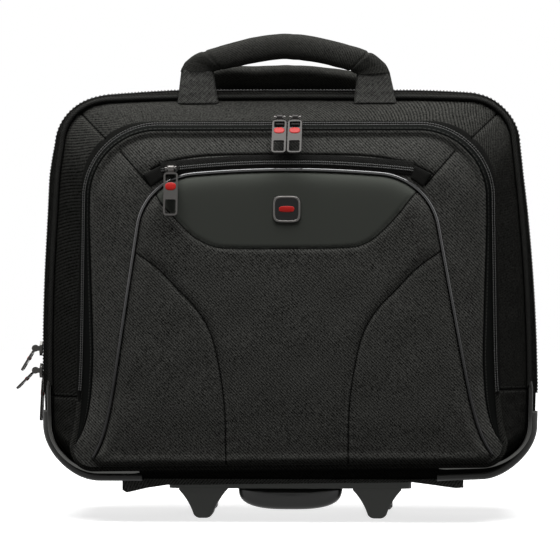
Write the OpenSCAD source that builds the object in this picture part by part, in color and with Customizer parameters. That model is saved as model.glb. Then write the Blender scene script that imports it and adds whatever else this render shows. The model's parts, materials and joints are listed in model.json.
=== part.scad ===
// Rolling laptop case: a soft zipped case on a moulded base, with wheels, feet and a telescopic handle.
// Sizes are in millimetres. +Z is up and the front faces -Y.
// The origin is on the floor, under the middle of the box round the whole case.

/* [Case outline] */
// Width over the front piping at the bottom corners
case_w = 425; // [390:1:460]
// Height from the bottom piping to the top piping
case_h = 334; // [310:1:360]
// Narrowing of each side from the bottom corner to the top corner
side_taper = 9.5; // [4:0.5:14]
// Outward bow of each side
side_bow = 4.5; // [0:0.5:7]
// Radius of the bottom corners
bottom_r = 38.5; // [30:0.5:46]
// Radius of the top corners
top_r = 32.5; // [26:0.5:40]
// How far the gusset swells past the piping
swell = 8.5; // [7:0.5:11]
// Thickness of the padded gusset wall
wall = 5; // [3.5:0.5:6.5]
// Height of the gusset's underside above the floor
ground_gap = 36.5; // [34:0.5:42]

/* [Depths] */
// Depth of the gusset from the main zip to the back panel
main_depth = 111; // [106:1:130]
// Depth of the lid in front of the main zip
lid_depth = 12; // [10:0.5:15]
// Thickness of the lid's padded face
lid_skin = 4; // [3:0.5:6]
// Depth of the organizer from the lid's face to its own face
organizer_depth = 43; // [38:1:50]
// Depth of the front pocket
pocket_depth = 8; // [6:0.5:9]
// Thickness of the front pocket's padded face
pocket_skin = 2; // [1.5:0.5:3]
// Thickness of the organizer flap's padded face
flap_skin = 4; // [3:0.5:5]
// Depth of the back panel
back_depth = 5; // [4:0.5:7]
// Thickness of the padded laptop divider
divider_t = 6; // [5:0.5:10]
// Clear depth of the laptop sleeve
laptop_depth = 31; // [25:1:36]
// Thickness of the stiff board behind the laptop
board_t = 3; // [2:0.5:4]
// Depth of the bay that holds the telescopic tubes
bay_depth = 27; // [26:0.5:30]

/* [Organizer] */
// Inset of the organizer's face from the piping at its top corners
organizer_inset = 30; // [24:1:36]
// Inset of the organizer's face from the piping at its bottom corners
organizer_foot_inset = 14; // [12:0.5:20]
// Drop from the top piping to the top edge of the organizer's face
organizer_drop = 33.5; // [29:0.5:38]
// Rise from the bottom piping to the bottom edge of the organizer's face
organizer_rise = 6; // [5:0.5:9]
// Radius of the organizer's top corners
organizer_top_r = 57; // [48:1:64]
// Radius of the organizer's bottom corners
organizer_foot_r = 12; // [8:0.5:16]
// Flare of the organizer's sides towards its bottom corners
organizer_flare = 22; // [10:0.5:24]
// How far the zip rim stands out round the organizer's face
rim_out = 6; // [5:0.5:8]
// Width of the tape on each side of the organizer's zip
rim_w = 3; // [2.5:0.5:4]
// Thickness of the organizer's side wall
organizer_wall = 3; // [2:0.5:4]

/* [Front pocket] */
// Inset of the pocket from the organizer's face at the pocket's top corners
pocket_inset = 40; // [34:1:46]
// Inset of the pocket from the organizer's face at the pocket's bottom corners
pocket_foot_inset = 17.5; // [15:0.5:22]
// Drop from the top of the organizer's face to the top of the pocket
pocket_drop = 33.5; // [30:0.5:38]
// Rise from the bottom of the organizer's face to the bottom of the pocket
pocket_rise = 1.5; // [1:0.5:5]
// Radius of the pocket's top corners
pocket_top_r = 55; // [48:1:60]
// Radius of the pocket's bottom corners
pocket_foot_r = 5; // [3:0.5:8]
// Flare of the pocket's sides towards its bottom corners
pocket_flare = 10; // [4:0.5:14]
// Radius of the arch of the pocket's top edge
pocket_crown_r = 950; // [800:10:1200]
// Inset of the zip's ends from the pocket's top corners
pocket_zip_inset = 23; // [18:1:28]
// Width of the pocket's zip tape
zip_w = 8; // [7:0.1:9]
// Width of the badge plate
badge_w = 23.5; // [18:0.5:30]
// Height of the badge plate
badge_h = 22.5; // [18:0.5:28]
// Thickness of the badge plate
badge_t = 1.6; // [1:0.1:2.5]
// Drop from the top of the pocket to the middle of the badge plate
badge_drop = 33.5; // [31.5:0.5:60]

/* [Piping and guards] */
// Radius of the case's piping
piping_r = 2.2; // [1.6:0.1:2.6]
// Radius of the pocket's piping
pocket_piping_r = 1.6; // [1.2:0.1:2]
// Share of the side, from its bottom, that the corner guard's bead climbs
guard_climb = 0.145; // [0.1:0.005:0.2]
// Share of the side, from its bottom, that the corner guard's band climbs
guard_band_climb = 0.05; // [0.02:0.01:0.09]
// Half the gap between the two corner guards along the bottom
guard_in = 133; // [120:1:145]
// How far the corner guard stands out from the lid
guard_t = 2.2; // [1.5:0.1:3]

/* [Carry handles] */
// Distance between the middles of a handle's two straps
handle_span = 158; // [146:1:170]
// Width of the handle webbing
strap_w = 38; // [34:1:42]
// Thickness of the handle webbing
strap_t = 3; // [2:0.5:4]
// Height of the front handle above its seam
front_handle_h = 63.5; // [58:0.5:70]
// Height of the rear handle above its seam
rear_handle_h = 44; // [42:0.5:50]
// Forward lean of the rear handle at rest
rear_handle_lean = 62; // [50:1:66]
// Length of the padded grip between its ends
grip_len = 120; // [110:1:126]
// Height of the padded grip
grip_h = 22; // [18:0.5:24]
// Depth of the padded grip
grip_d = 15; // [12:0.5:16]
// Radius of the grip's arch
arch_r = 149; // [130:1:200]

/* [Base] */
// Length of the base tray across the case
tray_w = 220; // [208:1:224]
// Depth of the base tray from front to back
tray_d = 74; // [70:0.5:75]
// Height of the base tray
tray_h = 9.4; // [8:0.1:11]
// Thickness of the tray's walls
tray_wall = 2.5; // [2:0.1:3]
// Corner radius of the tray
tray_r = 9; // [5:0.5:12]
// Distance between the two feet
foot_span = 158; // [150:1:166]
// Width of a foot at its top
foot_w = 44; // [40:1:48]
// Width of a foot at its sole
sole_w = 19; // [17:0.5:24]
// Depth of a foot from front to back
foot_d = 24; // [18:1:28]
// Width of the grab lip under the tray
lip_w = 94; // [86:1:100]
// Drop of the grab lip below the tray
lip_drop = 19.8; // [16:0.2:22]
// Depth of the grab lip from front to back
lip_d = 34; // [28:1:40]
// Wall of the grab lip
lip_wall = 3.5; // [2.5:0.5:4.5]
// Half the length of the loose cloth flap in front of the tray
flap_half = 157; // [148:1:165]
// Thickness of the loose cloth flap
flap_t = 2; // [1:0.2:2.4]

/* [Wheels] */
// Diameter over the tyre
wheel_d = 50; // [47:0.5:54]
// Width of the tyre
wheel_w = 20; // [17:0.5:22]
// Gap between the foot of the tubes and a wheel's housing
foot_gap = 3; // [1.5:0.5:6]
// Thickness of the tyre
tyre_t = 5; // [4:0.5:6]
// Diameter of the axle
axle_d = 6; // [5:0.5:7]
// Outer diameter of the axle bushes
bush_d = 10; // [9:0.5:12]
// Thickness of the wheel bracket's cheeks and roof
cheek_t = 3; // [2.5:0.5:4]
// Gap between the tyre and its bracket
wheel_gap = 2; // [1.5:0.5:3]
// Number of spokes in a hub
spokes = 5; // [4:1:7]

/* [Telescopic handle] */
// Distance between the middles of the two tube stacks
tube_span = 106; // [96:1:112]
// Outer diameter of the outer tube
tube_d = 18; // [17:0.5:19]
// Wall of each tube
tube_wall = 1.2; // [1:0.1:1.4]
// Gap between the ends of the retracted grip and the cup
cup_gap = 7.5; // [4:0.5:12]
// Depth of the handle cup
cup_depth = 24; // [22:0.5:28]
// Wall of the handle cup
cup_wall = 2.5; // [2:0.1:3]
// Clear gap for fingers in front of the retracted grip
finger_gap = 12; // [10:0.5:13]
// Reach of the pull-out grip past the middle of each tube
bar_over = 12; // [9:0.5:15]
// Thickness of the pull-out grip
bar_t = 13; // [12.5:0.5:14]
// Length of the release button
button_len = 24; // [18:1:32]
// Width of the release button
button_w = 7; // [5:0.5:8]
// Travel of the release button
button_travel = 3; // [2:0.5:4]

/* [Zip hardware] */
// Length of a slider along its track
slider_len = 13; // [11:0.5:14]
// Width of a slider across its track
slider_w = 9; // [8:0.5:10]
// Thickness of a slider's plate
slider_t = 2.2; // [1.6:0.1:2.6]
// Radius of the rod that carries a pull
rod_r = 1.2; // [1:0.1:1.4]
// Width of a zip pull
pull_w = 12.6; // [11:0.2:14]
// Length of the long zip pulls
pull_len = 44; // [40:1:48]
// Length of the short zip pulls on the main zip
short_pull_len = 25; // [24:0.5:30]
// Thickness of a zip pull
pull_t = 2; // [1.6:0.1:2.4]
// Width of the rails round a pull's windows
pull_rail = 1.6; // [1.2:0.1:2]
// Share of the side, from its bottom, where the main and rear zips end
zip_end = 0.125; // [0.11:0.005:0.15]
// Height of the main zip's lower slider above the lower end of the zip
slider_rise = 16; // [15:0.5:20]
// Height of the rear zip's slider above the lower end of the zip
rear_slider_rise = 10; // [9:0.5:16]
// Distance between the main zip's two sliders
slider_pitch = 20; // [18:0.5:24]
// Distance of the rear zip from the middle of the gusset
rear_zip_y = 4; // [0:0.5:6]

/* [Hidden] */
$fn = 48;
// Gap between cloth rims that part when a zip opens
seam_gap = 0.3;
// Clearance between sliding parts
slide_gap = 0.3;
// Radial clearance of the hub on its bushes
run_gap = 0.05;
// Radial clearance of a pull's eye on its rod
eye_gap = 0.6;
// Overrun of a cut past the face that it opens
cut = 1;
// Straight steps in each rounded corner of an outline
arc_steps = 8;
// Straight steps along each side of an outline
side_steps = 7;
// How strongly the steps along a side gather near its foot
step_power = 1.6;
// How sharply a flared side turns out at its foot
flare_power = 10;
// Straight steps in half of an arched top
crown_steps = 4;
// Sides of a piping cord
cord_sides = 8;

y_zip = -main_depth / 2;
y_rear = main_depth / 2;
y_lid = y_zip - lid_depth;
y_face = y_lid - organizer_depth;
y_pocket = y_face - pocket_depth;
y_back = y_rear + back_depth;
z_low = ground_gap + swell;
z_high = z_low + case_h;
z_top = z_high + swell;
z_floor = ground_gap + wall;
z_tray = ground_gap - tray_h;

// An outline is [half width at bottom, half width at top, bottom, top,
// bottom corner radius, top corner radius, side bow, side flare],
// and for an arched top its radius
case_spec = [case_w / 2, case_w / 2 - side_taper, z_low, z_high, bottom_r, top_r, side_bow, 0];
organizer_spec = [
    case_spec[0] - organizer_foot_inset, case_spec[1] - organizer_inset,
    z_low + organizer_rise, z_high - organizer_drop,
    organizer_foot_r, organizer_top_r, 0, organizer_flare
];
pocket_spec = [
    organizer_spec[0] - pocket_foot_inset, organizer_spec[1] - pocket_inset,
    organizer_spec[2] + pocket_rise, organizer_spec[3] - pocket_drop,
    pocket_foot_r, pocket_top_r, 0, pocket_flare, pocket_crown_r
];

// The piping lies on the lid's face, this far outside the case outline
piping_out = 1;
piping_seat = piping_out - piping_r;
// The organizer's side wall stops here and its zip rims follow
rim_back = 12.5;
y_wall_end = y_face + rim_back;
y_parting = y_wall_end - rim_w;
y_flap_back = y_parting - seam_gap;

// Telescopic handle stack, from the outside inwards
y_tube = y_rear - bay_depth / 2;
foot_plate = 4;
mid_r = tube_d / 2 - tube_wall - slide_gap;
inner_r = mid_r - tube_wall - slide_gap;
z_cup = z_top - cup_depth;
z_tube_low = z_floor + foot_plate;
z_tube_high = z_cup - cup_wall;
tube_step = 3;
collar_h = 5.5;
collar_wall = 1.4;
z_collar = z_cup + seam_gap;
z_mid_high = z_collar + tube_step;
z_bar = z_collar + collar_h + 1;
bar_h = z_top - z_bar;
socket_depth = 6;
y_cup_front = y_tube - bar_t / 2 - finger_gap - cup_wall;
y_cup_back = y_tube + mid_r + collar_wall + slide_gap + cup_wall;
bar_len = tube_span + 2 * bar_over;
cup_w = bar_len + 2 * (cup_gap + cup_wall);

// Running gear
wheel_r = wheel_d / 2;
y_axle = y_rear - 1.5;
well_r = wheel_r + wheel_gap + cheek_t;
fork_half = wheel_w / 2 + wheel_gap + cheek_t;
foot_socket_wall = 2.5;
wheel_track = tube_span + tube_d + 2 * (foot_socket_wall + foot_gap + fork_half);
flange_t = 3;
flange_out = 9;
y_tray = y_zip + 3.5;
y_foot = y_tray + 2;
foot_bolt = 11;

// Zip hardware
zip_t = 1.4;
lug_t = 1.6;
eye_wall = 1.3;
eye_r = rod_r + eye_gap + eye_wall;
// Gap between a pull's eye and its slider
rod_gap = 1.1;
rod_h = slider_t + eye_r + rod_gap;
lug_gap = 7;
eye_len = 5;
// The pocket's zip runs beside its piping, on an arc with the same centre as the pocket's top edge
pocket_piping_gap = 0.1;
zip_arc_r = pocket_crown_r + pocket_piping_gap + 2 * pocket_piping_r + seam_gap + max(zip_w, slider_w) / 2;
z_zip_arc = pocket_spec[3] - pocket_crown_r;
zip_half = pocket_spec[1] - pocket_zip_inset;
zip_angle = asin(zip_half / zip_arc_r);
pocket_slider_angle = zip_angle - asin((slider_len / 2 + 1) / zip_arc_r);

cloth = "#2c2c2b";
smooth_cloth = "#343533";
moulded = "#333433";
gloss = "#161616";
metal = "#8c8c8c";
gunmetal = "#6d6b68";
rubber = "#232323";

function lerp(a, b, t) = a + (b - a) * t;

// Outlines: lists of [point, outward normal] in the XZ plane, counter-clockwise as seen from the front

function corner(c, r, a0, a1) = [
    for (i = [0:arc_steps])
        let (a = lerp(a0, a1, i / arc_steps), n = [cos(a), sin(a)])
        [c + r * n, n]
];

function low_centre(s) = [s[0] - s[4], s[2] + s[4]];

function crown_r(s) = len(s) > 8 ? s[8] : 0;

// How far an arched top lowers the centres of its corner arcs
function crown_fall(s) =
    let (r = crown_r(s) - s[5], a = s[1] - s[5])
    crown_r(s) > 0 ? r - sqrt(r * r - a * a) : 0;

// Half of the angle that an arched top spans
function crown_angle(s) = crown_r(s) > 0 ? asin((s[1] - s[5]) / (crown_r(s) - s[5])) : 0;

function high_centre(s) = [s[1] - s[5], s[3] - s[5] - crown_fall(s)];

// Direction of the normal of the straight line that touches both corner arcs of the right side
function side_angle(s) =
    let (d = high_centre(s) - low_centre(s))
    atan2(d.y, d.x) - acos((s[4] - s[5]) / norm(d));

// The side bows out in a parabola and dips in beside its flared foot
function side_dip(s, t) = 4 * s[6] * t * (1 - t) - s[7] * ((1 - t) - pow(1 - t, flare_power));

function side_at(s, t) =
    let (a = side_angle(s), n = [cos(a), sin(a)])
    [lerp(low_centre(s) + s[4] * n, high_centre(s) + s[5] * n, t) + side_dip(s, t) * n, n];

// Steps along a side are shorter near its foot
function step_share(i) = pow(i / side_steps, step_power);

// Point of the stepped side at share t
function on_step(s, t) =
    let (
        i = min(floor(side_steps * pow(t, 1 / step_power)), side_steps - 1),
        a = side_at(s, step_share(i)),
        b = side_at(s, step_share(i + 1)),
        f = (t - step_share(i)) / (step_share(i + 1) - step_share(i))
    )
    [lerp(a[0], b[0], f), a[1]];

function side(s, t0, t1) = [
    on_step(s, t0),
    for (i = [0:side_steps])
        if (step_share(i) > t0 && step_share(i) < t1)
            side_at(s, step_share(i)),
    on_step(s, t1)
];

function inner_part(path) = [for (i = [1:len(path) - 2]) path[i]];

function tail(path) = [for (i = [1:len(path) - 1]) path[i]];

function mirrored(path) = [
    for (i = [len(path) - 1:-1:0])
        [[-path[i][0].x, path[i][0].y], [-path[i][1].x, path[i][1].y]]
];

function low_corner(s) = corner(low_centre(s), s[4], -90, side_angle(s));

function high_corner(s) = corner(high_centre(s), s[5], side_angle(s), 90 - crown_angle(s));

// Right half of an arched top, from the corner to just short of the middle
function crown(s) = [
    if (crown_r(s) > 0)
        for (i = [1:crown_steps - 1])
            let (a = 90 - crown_angle(s) * (1 - i / crown_steps), n = [cos(a), sin(a)])
            [[0, s[3] - crown_r(s)] + crown_r(s) * n, n]
];

function right_half(s) = concat(low_corner(s), inner_part(side(s, 0, 1)), high_corner(s), crown(s));

function whole(s) = concat(right_half(s), mirrored(right_half(s)));

// The stretch from the right side, over the top, to the same height on the left side
function over_top(s, t0) =
    let (h = concat(side(s, t0, 1), tail(high_corner(s)), crown(s)))
    concat(h, mirrored(h));

// The stretch round the right bottom corner, from the underside up to share t1 of the side
function round_foot(s, x0, t1) =
    concat([[[x0, s[2]], [0, -1]]], low_corner(s), tail(side(s, 0, t1)));

// An outline moved out by d at its sides and top, with its foot kept in place
function grown(s, d) = [s[0], s[1] + d, s[2], s[3] + d, s[4], max(s[5] + d, 3), s[6], s[7] - d];

// An outline moved in by d all round, half as far at its foot
function shrunk(s, d) = [
    s[0] - d, s[1] - d, s[2] + d / 2, s[3] - d, s[4], max(s[5] - d, 3), s[6], s[7], crown_r(s) - d
];

function off(path, d) = [for (f = path) f[0] + d * f[1]];

// Share of the side that lies at height z
function share_at(s, z) =
    let (low = side_at(s, 0)[0].y, high = side_at(s, 1)[0].y)
    (z - low) / (high - low);

// Height at share t of the side
function height_at(s, t) = side_at(s, t)[0].y;

// A profile is a list of [distance out from the path, y], clockwise
function cord_profile(out, y, r) = [
    for (i = [0:cord_sides - 1])
        let (a = -360 * (i + 0.5) / cord_sides)
        [out + r * cos(a), y + r * sin(a)]
];

// Skin through rings of points, each ring counter-clockwise as seen along the direction of travel
module skin(rings, closed = false) {
    n = len(rings[0]);
    k = len(rings);
    sides = [
        for (j = [0:closed ? k - 1 : k - 2], i = [0:n - 1])
            let (a = j * n + i, b = j * n + (i + 1) % n, c = ((j + 1) % k) * n + (i + 1) % n)
            [a, b, c]
    ];
    other_sides = [
        for (j = [0:closed ? k - 1 : k - 2], i = [0:n - 1])
            let (a = j * n + i, c = ((j + 1) % k) * n + (i + 1) % n, d = ((j + 1) % k) * n + i)
            [a, c, d]
    ];
    caps = closed ? [] : [[for (i = [n - 1:-1:0]) i], [for (i = [0:n - 1]) (k - 1) * n + i]];
    polyhedron([for (r = rings) each r], concat(sides, other_sides, caps), convexity = 8);
}

// Loft through [y, outline points] pairs, which run back into the hollow of a shell after its rim
module loft(rings, closed = false) {
    skin([for (r = rings) [for (p = r[1]) [p.x, r[0], p.y]]], closed);
}

// Sweep of a profile along an outline path
module sweep(path, profile, closed = false) {
    skin([for (f = path) [for (q = profile) [f[0].x + q.x * f[1].x, q.y, f[0].y + q.x * f[1].y]]], closed);
}

// Flat plate of an outline's shape, from y0 to y1
module slab(points, y0, y1) {
    translate([0, y1, 0])
        rotate([90, 0, 0])
            linear_extrude(y1 - y0)
                polygon(points);
}

// Bar of circular section along X, Y or Z
module rod_x(r, x0, x1) {
    translate([x0, 0, 0])
        rotate([0, 90, 0])
            cylinder(r = r, h = x1 - x0);
}

module rounded_rect(w, h, r) {
    square([w - 2 * r, h], center = true);
    square([w, h - 2 * r], center = true);
    for (x = [-1, 1], y = [-1, 1])
        translate([x * (w / 2 - r), y * (h / 2 - r)])
            circle(r);
}

module both_sides() {
    children();
    mirror([1, 0, 0])
        children();
}

// Space that a wheel's arched housing takes
module wheel_well(clearance) {
    translate([wheel_track / 2, y_axle, wheel_r])
        rod_x(well_r + clearance, -fork_half - clearance, fork_half + clearance);
}

// Screws: [x, y, underside of head, tip]
screw_r = 2;
screw_head_r = 4;
screw_head_h = 2.4;
foot_screw_tip = 12;
flange_screw_x = wheel_track / 2 - fork_half - flange_out / 2;
screws = [
    [foot_span / 2 - foot_bolt, y_foot + foot_d / 2, z_floor, foot_screw_tip],
    [foot_span / 2 + foot_bolt, y_foot + foot_d / 2, z_floor, foot_screw_tip],
    [tube_span / 4, y_tube, z_tube_low, ground_gap - flange_t],
    [flange_screw_x, y_axle - well_r + 3, z_floor, ground_gap - flange_t],
    [wheel_track - flange_screw_x, y_axle - well_r + 3, z_floor, ground_gap - flange_t]
];

module screw_holes() {
    both_sides()
        for (s = screws)
            translate([s.x, s.y, s[3]])
                cylinder(r = screw_r, h = s[2] - s[3] + screw_head_h);
}

module main_gusset() {
    color(cloth)
        difference() {
            slab(off(whole(case_spec), swell), y_zip, y_rear);
            slab(off(whole(case_spec), swell - wall), y_zip - cut, y_rear + cut);
            both_sides()
                wheel_well(slide_gap);
            translate([-cup_w / 2, y_cup_front, z_tube_high])
                cube([cup_w, y_cup_back - y_cup_front, z_top - z_tube_high + cut]);
            screw_holes();
        }
}

back_turn = 4;

module back_panel() {
    color(cloth)
        difference() {
            loft([
                [y_rear, off(whole(case_spec), swell)],
                [y_rear + back_depth * 0.5, off(whole(case_spec), swell - back_turn * 0.25)],
                [y_rear + back_depth * 0.85, off(whole(case_spec), swell - back_turn * 0.55)],
                [y_back, off(whole(case_spec), swell - back_turn)]
            ]);
            both_sides()
                wheel_well(slide_gap);
        }
}

module rear_piping() {
    color(gloss)
        difference() {
            sweep(whole(case_spec), cord_profile(piping_out, y_back + piping_r, piping_r), true);
            both_sides()
                wheel_well(slide_gap);
        }
}

divider_drop = 45;

module laptop_divider() {
    y0 = y_rear - bay_depth - board_t - laptop_depth - divider_t;
    color(smooth_cloth)
        intersection() {
            slab(off(whole(case_spec), swell - wall), y0, y0 + divider_t);
            translate([-case_w, y0 - cut, 0])
                cube([2 * case_w, divider_t + 2 * cut, z_high - divider_drop]);
        }
}

board_rise = 30;

module lining_board() {
    y0 = y_rear - bay_depth - board_t;
    color(moulded)
        intersection() {
            slab(off(whole(case_spec), swell - wall), y0, y0 + board_t);
            translate([-case_w, y0 - cut, z_floor + board_rise])
                cube([2 * case_w, board_t + 2 * cut, z_tube_high - 4 - z_floor - board_rise]);
        }
}

// Half of a zip: flat tape with its raised coil along the parting edge, on the gusset's outer face
tape_w = 6;
tape_t = 0.8;
coil_w = 1.8;

module zip_half_band(path, out, width, y_edge, toward) {
    base = [
        [out, 0], [out + zip_t, 0], [out + zip_t, coil_w], [out + tape_t, coil_w],
        [out + tape_t, width], [out, width]
    ];
    profile = [for (q = base) [q.x, y_edge + toward * q.y]];
    turned = toward > 0 ? [for (i = [len(profile) - 1:-1:0]) profile[i]] : profile;
    sweep(path, turned);
}

module main_zip_rear() {
    color(gloss)
        zip_half_band(over_top(case_spec, zip_end), swell, tape_w, y_zip, 1);
}

module main_zip_front() {
    color(gloss)
        zip_half_band(over_top(case_spec, zip_end), swell, tape_w, y_zip - seam_gap, -1);
}

module laptop_zip() {
    path = over_top(case_spec, zip_end);
    color(gloss) {
        zip_half_band(path, swell, tape_w, rear_zip_y + seam_gap / 2, 1);
        zip_half_band(path, swell, tape_w, rear_zip_y - seam_gap / 2, -1);
    }
}

// Base

module tray_outline(inset) {
    translate([0, y_tray + tray_d / 2])
        rounded_rect(tray_w - 2 * inset, tray_d - 2 * inset, tray_r - inset);
}

rib_count = 7;
rib_t = 2;
tray_top = 3;

module base_tray() {
    color(moulded)
        difference() {
            translate([0, 0, z_tray])
                union() {
                    difference() {
                        linear_extrude(tray_h)
                            tray_outline(0);
                        translate([0, 0, -cut])
                            linear_extrude(tray_h - tray_top + cut)
                                tray_outline(tray_wall);
                    }
                    linear_extrude(tray_h)
                        intersection() {
                            tray_outline(tray_wall / 2);
                            union() {
                                for (i = [1:rib_count])
                                    translate([(i / (rib_count + 1) - 0.5) * tray_w, y_tray + tray_d / 2])
                                        square([rib_t, tray_d], center = true);
                                translate([0, y_tray + tray_d * 0.62])
                                    square([tray_w, rib_t], center = true);
                                for (x = [-1, 1])
                                    translate([x * foot_span / 2, y_foot + foot_d / 2])
                                        square([foot_w, foot_d], center = true);
                                translate([0, y_foot + lip_d / 2])
                                    square([lip_w, lip_wall * 2], center = true);
                            }
                        }
                }
            screw_holes();
        }
}

sole_r = 7;
foot_hollow = 1.5;

module front_feet() {
    spec = [sole_w / 2, foot_w / 2, 0, z_tray, sole_r, 1, -foot_hollow, 0];
    color(rubber)
        difference() {
            both_sides()
                translate([foot_span / 2, 0, 0])
                    slab(off(whole(spec), 0), y_foot, y_foot + foot_d);
            screw_holes();
        }
}

lip_r = 0.9;

module base_grip() {
    r = lip_drop * lip_r;
    spec = [lip_w / 2 - 2, lip_w / 2, z_tray - lip_drop, z_tray, r, 1, 0, 0];
    inner = [
        lip_w / 2 - 2 - lip_wall, lip_w / 2 - lip_wall, z_tray - lip_drop + lip_wall, z_tray + cut,
        r - lip_wall, 0.5, 0, 0
    ];
    color(moulded)
        difference() {
            slab(off(whole(spec), 0), y_foot, y_foot + lip_d);
            slab(off(whole(inner), 0), y_foot + lip_wall, y_foot + lip_d + cut);
        }
}

flap_droop = 12.5;
flap_narrow = 4.5;

module base_flap() {
    edge = tray_w / 2 + 1;
    right = [
        [0, ground_gap - flap_narrow], [edge, ground_gap - flap_narrow],
        [lerp(edge, flap_half, 0.45), ground_gap - lerp(flap_narrow, flap_droop, 0.4)],
        [flap_half - 4, ground_gap - flap_droop], [flap_half - 1, ground_gap - flap_droop + 2],
        [flap_half, ground_gap]
    ];
    left = [for (i = [len(right) - 1:-1:1]) [-right[i].x, right[i].y]];
    color(cloth)
        slab(concat(right, left), y_tray - slide_gap - flap_t, y_tray - slide_gap);
}

// Wheel bracket: arched housing, fork cheeks and a flange under the gusset

cheek_r = 9;

module wheel_bracket() {
    x = wheel_track / 2;
    difference() {
        union() {
            intersection() {
                wheel_well(0);
                translate([x - fork_half, y_axle - well_r, ground_gap - flange_t])
                    cube([2 * fork_half, 2 * well_r, 2 * well_r]);
            }
            translate([x - fork_half - flange_out, y_axle - well_r - 1, ground_gap - flange_t])
                cube([2 * (fork_half + flange_out), y_rear - y_axle + well_r + 1, flange_t]);
            translate([x, y_axle, wheel_r])
                rod_x(cheek_r, -fork_half, fork_half);
            translate([x - fork_half, y_axle - cheek_r, wheel_r])
                cube([2 * fork_half, 2 * cheek_r, ground_gap - wheel_r]);
        }
        translate([x, y_axle, wheel_r])
            rod_x(well_r - cheek_t, -fork_half + cheek_t, fork_half - cheek_t);
        translate([x - fork_half + cheek_t, y_axle - well_r + cheek_t, -cut])
            cube([2 * (fork_half - cheek_t), 2 * (well_r - cheek_t), wheel_r + cut]);
        translate([x, y_axle, wheel_r])
            rod_x(axle_d / 2, -fork_half - cut, fork_half + cut);
    }
}

module wheel_brackets() {
    color(moulded)
        difference() {
            both_sides()
                wheel_bracket();
            screw_holes();
        }
}

axle_head = 1.5;

module wheel_axles() {
    color(metal)
        both_sides()
            translate([wheel_track / 2, y_axle, wheel_r]) {
                rod_x(axle_d / 2, -fork_half - axle_head, fork_half + axle_head);
                for (x = [-fork_half - axle_head, fork_half])
                    rod_x(axle_d / 2 + 1.5, x, x + axle_head);
            }
}

bush_len = 6;

module axle_bushes() {
    color(metal)
        both_sides()
            for (x = [-fork_half + cheek_t, fork_half - cheek_t - bush_len])
                translate([wheel_track / 2, y_axle, wheel_r])
                    difference() {
                        rod_x(bush_d / 2, x, x + bush_len);
                        rod_x(axle_d / 2, x - cut, x + bush_len + cut);
                    }
}

hub_boss = 2.5;
hub_rim = 3;
spoke_t = 3.5;

module hub() {
    rim_r = wheel_r - tyre_t;
    boss_r = bush_d / 2 + hub_boss;
    half = wheel_w / 2;
    difference() {
        union() {
            difference() {
                rod_x(rim_r, -half, half);
                rod_x(rim_r - hub_rim, -half - cut, half + cut);
            }
            rod_x(boss_r, -half, half);
            for (i = [0:spokes - 1])
                rotate([360 * i / spokes, 0, 0])
                    translate([-half + 1.5, -spoke_t / 2, boss_r - 1])
                        cube([wheel_w - 3, spoke_t, rim_r - hub_rim / 2 - boss_r + 1]);
        }
        rod_x(bush_d / 2 + run_gap, -half - cut, half + cut);
    }
}

tyre_crown = 2.5;

module tyre() {
    rim_r = wheel_r - tyre_t;
    half = wheel_w / 2;
    rotate([0, 90, 0])
        rotate_extrude()
            polygon([
                [rim_r, -half], [wheel_r - tyre_crown, -half], [wheel_r, -half + tyre_crown],
                [wheel_r, half - tyre_crown], [wheel_r - tyre_crown, half], [rim_r, half]
            ]);
}

module at_wheel(sign) {
    translate([sign * wheel_track / 2, y_axle, wheel_r])
        children();
}

module left_hub() {
    color(gunmetal)
        at_wheel(-1)
            hub();
}

module left_tyre() {
    color(rubber)
        at_wheel(-1)
            tyre();
}

module right_hub() {
    color(gunmetal)
        at_wheel(1)
            hub();
}

module right_tyre() {
    color(rubber)
        at_wheel(1)
            tyre();
}

module base_screws() {
    color(metal)
        both_sides()
            for (s = screws) {
                translate([s.x, s.y, s[3]])
                    cylinder(r = screw_r, h = s[2] - s[3]);
                translate([s.x, s.y, s[2]])
                    cylinder(r = screw_head_r, h = screw_head_h);
            }
}

// Telescopic handle

module at_tubes() {
    both_sides()
        translate([tube_span / 2, y_tube, 0])
            children();
}

module tube(r, z0, z1) {
    translate([0, 0, z0])
        difference() {
            cylinder(r = r, h = z1 - z0);
            translate([0, 0, -cut])
                cylinder(r = r - tube_wall, h = z1 - z0 + 2 * cut);
        }
}

module outer_tubes() {
    color(metal)
        at_tubes()
            tube(tube_d / 2, z_tube_low, z_tube_high);
}

module middle_tubes() {
    color(metal)
        at_tubes()
            tube(mid_r, z_tube_low + tube_step, z_mid_high);
}

module middle_collars() {
    color(gloss)
        at_tubes()
            translate([0, 0, z_collar])
                difference() {
                    cylinder(r = mid_r + collar_wall, h = collar_h);
                    translate([0, 0, -cut])
                        cylinder(r = mid_r, h = z_mid_high - z_collar + cut);
                    cylinder(r = inner_r + slide_gap, h = collar_h + cut);
                }
}

module inner_tubes() {
    color(metal)
        at_tubes()
            tube(inner_r, z_tube_low + 2 * tube_step, z_bar + socket_depth);
}

foot_socket_h = 16;
foot_rib_t = 3;
foot_rib_h = 5;

module tube_foot() {
    socket_r = tube_d / 2 + foot_socket_wall;
    plate_half = tube_span / 2 + socket_r;
    color(moulded)
        difference() {
            union() {
                translate([-plate_half + socket_r, y_tube - socket_r, z_floor])
                    cube([2 * (plate_half - socket_r), 2 * socket_r, foot_plate]);
                at_tubes()
                    translate([0, 0, z_floor])
                        cylinder(r = socket_r, h = foot_socket_h);
                translate([-tube_span / 2, y_tube - foot_rib_t / 2, z_floor])
                    cube([tube_span, foot_rib_t, foot_plate + foot_rib_h]);
            }
            at_tubes()
                translate([0, 0, z_tube_low])
                    cylinder(r = tube_d / 2, h = foot_socket_h);
            both_sides()
                translate([screws[2].x, y_tube, z_tube_low])
                    cylinder(r = screw_head_r + 1, h = foot_socket_h);
            screw_holes();
        }
}

cup_lip = 2;
cup_lip_t = 1.2;

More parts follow.
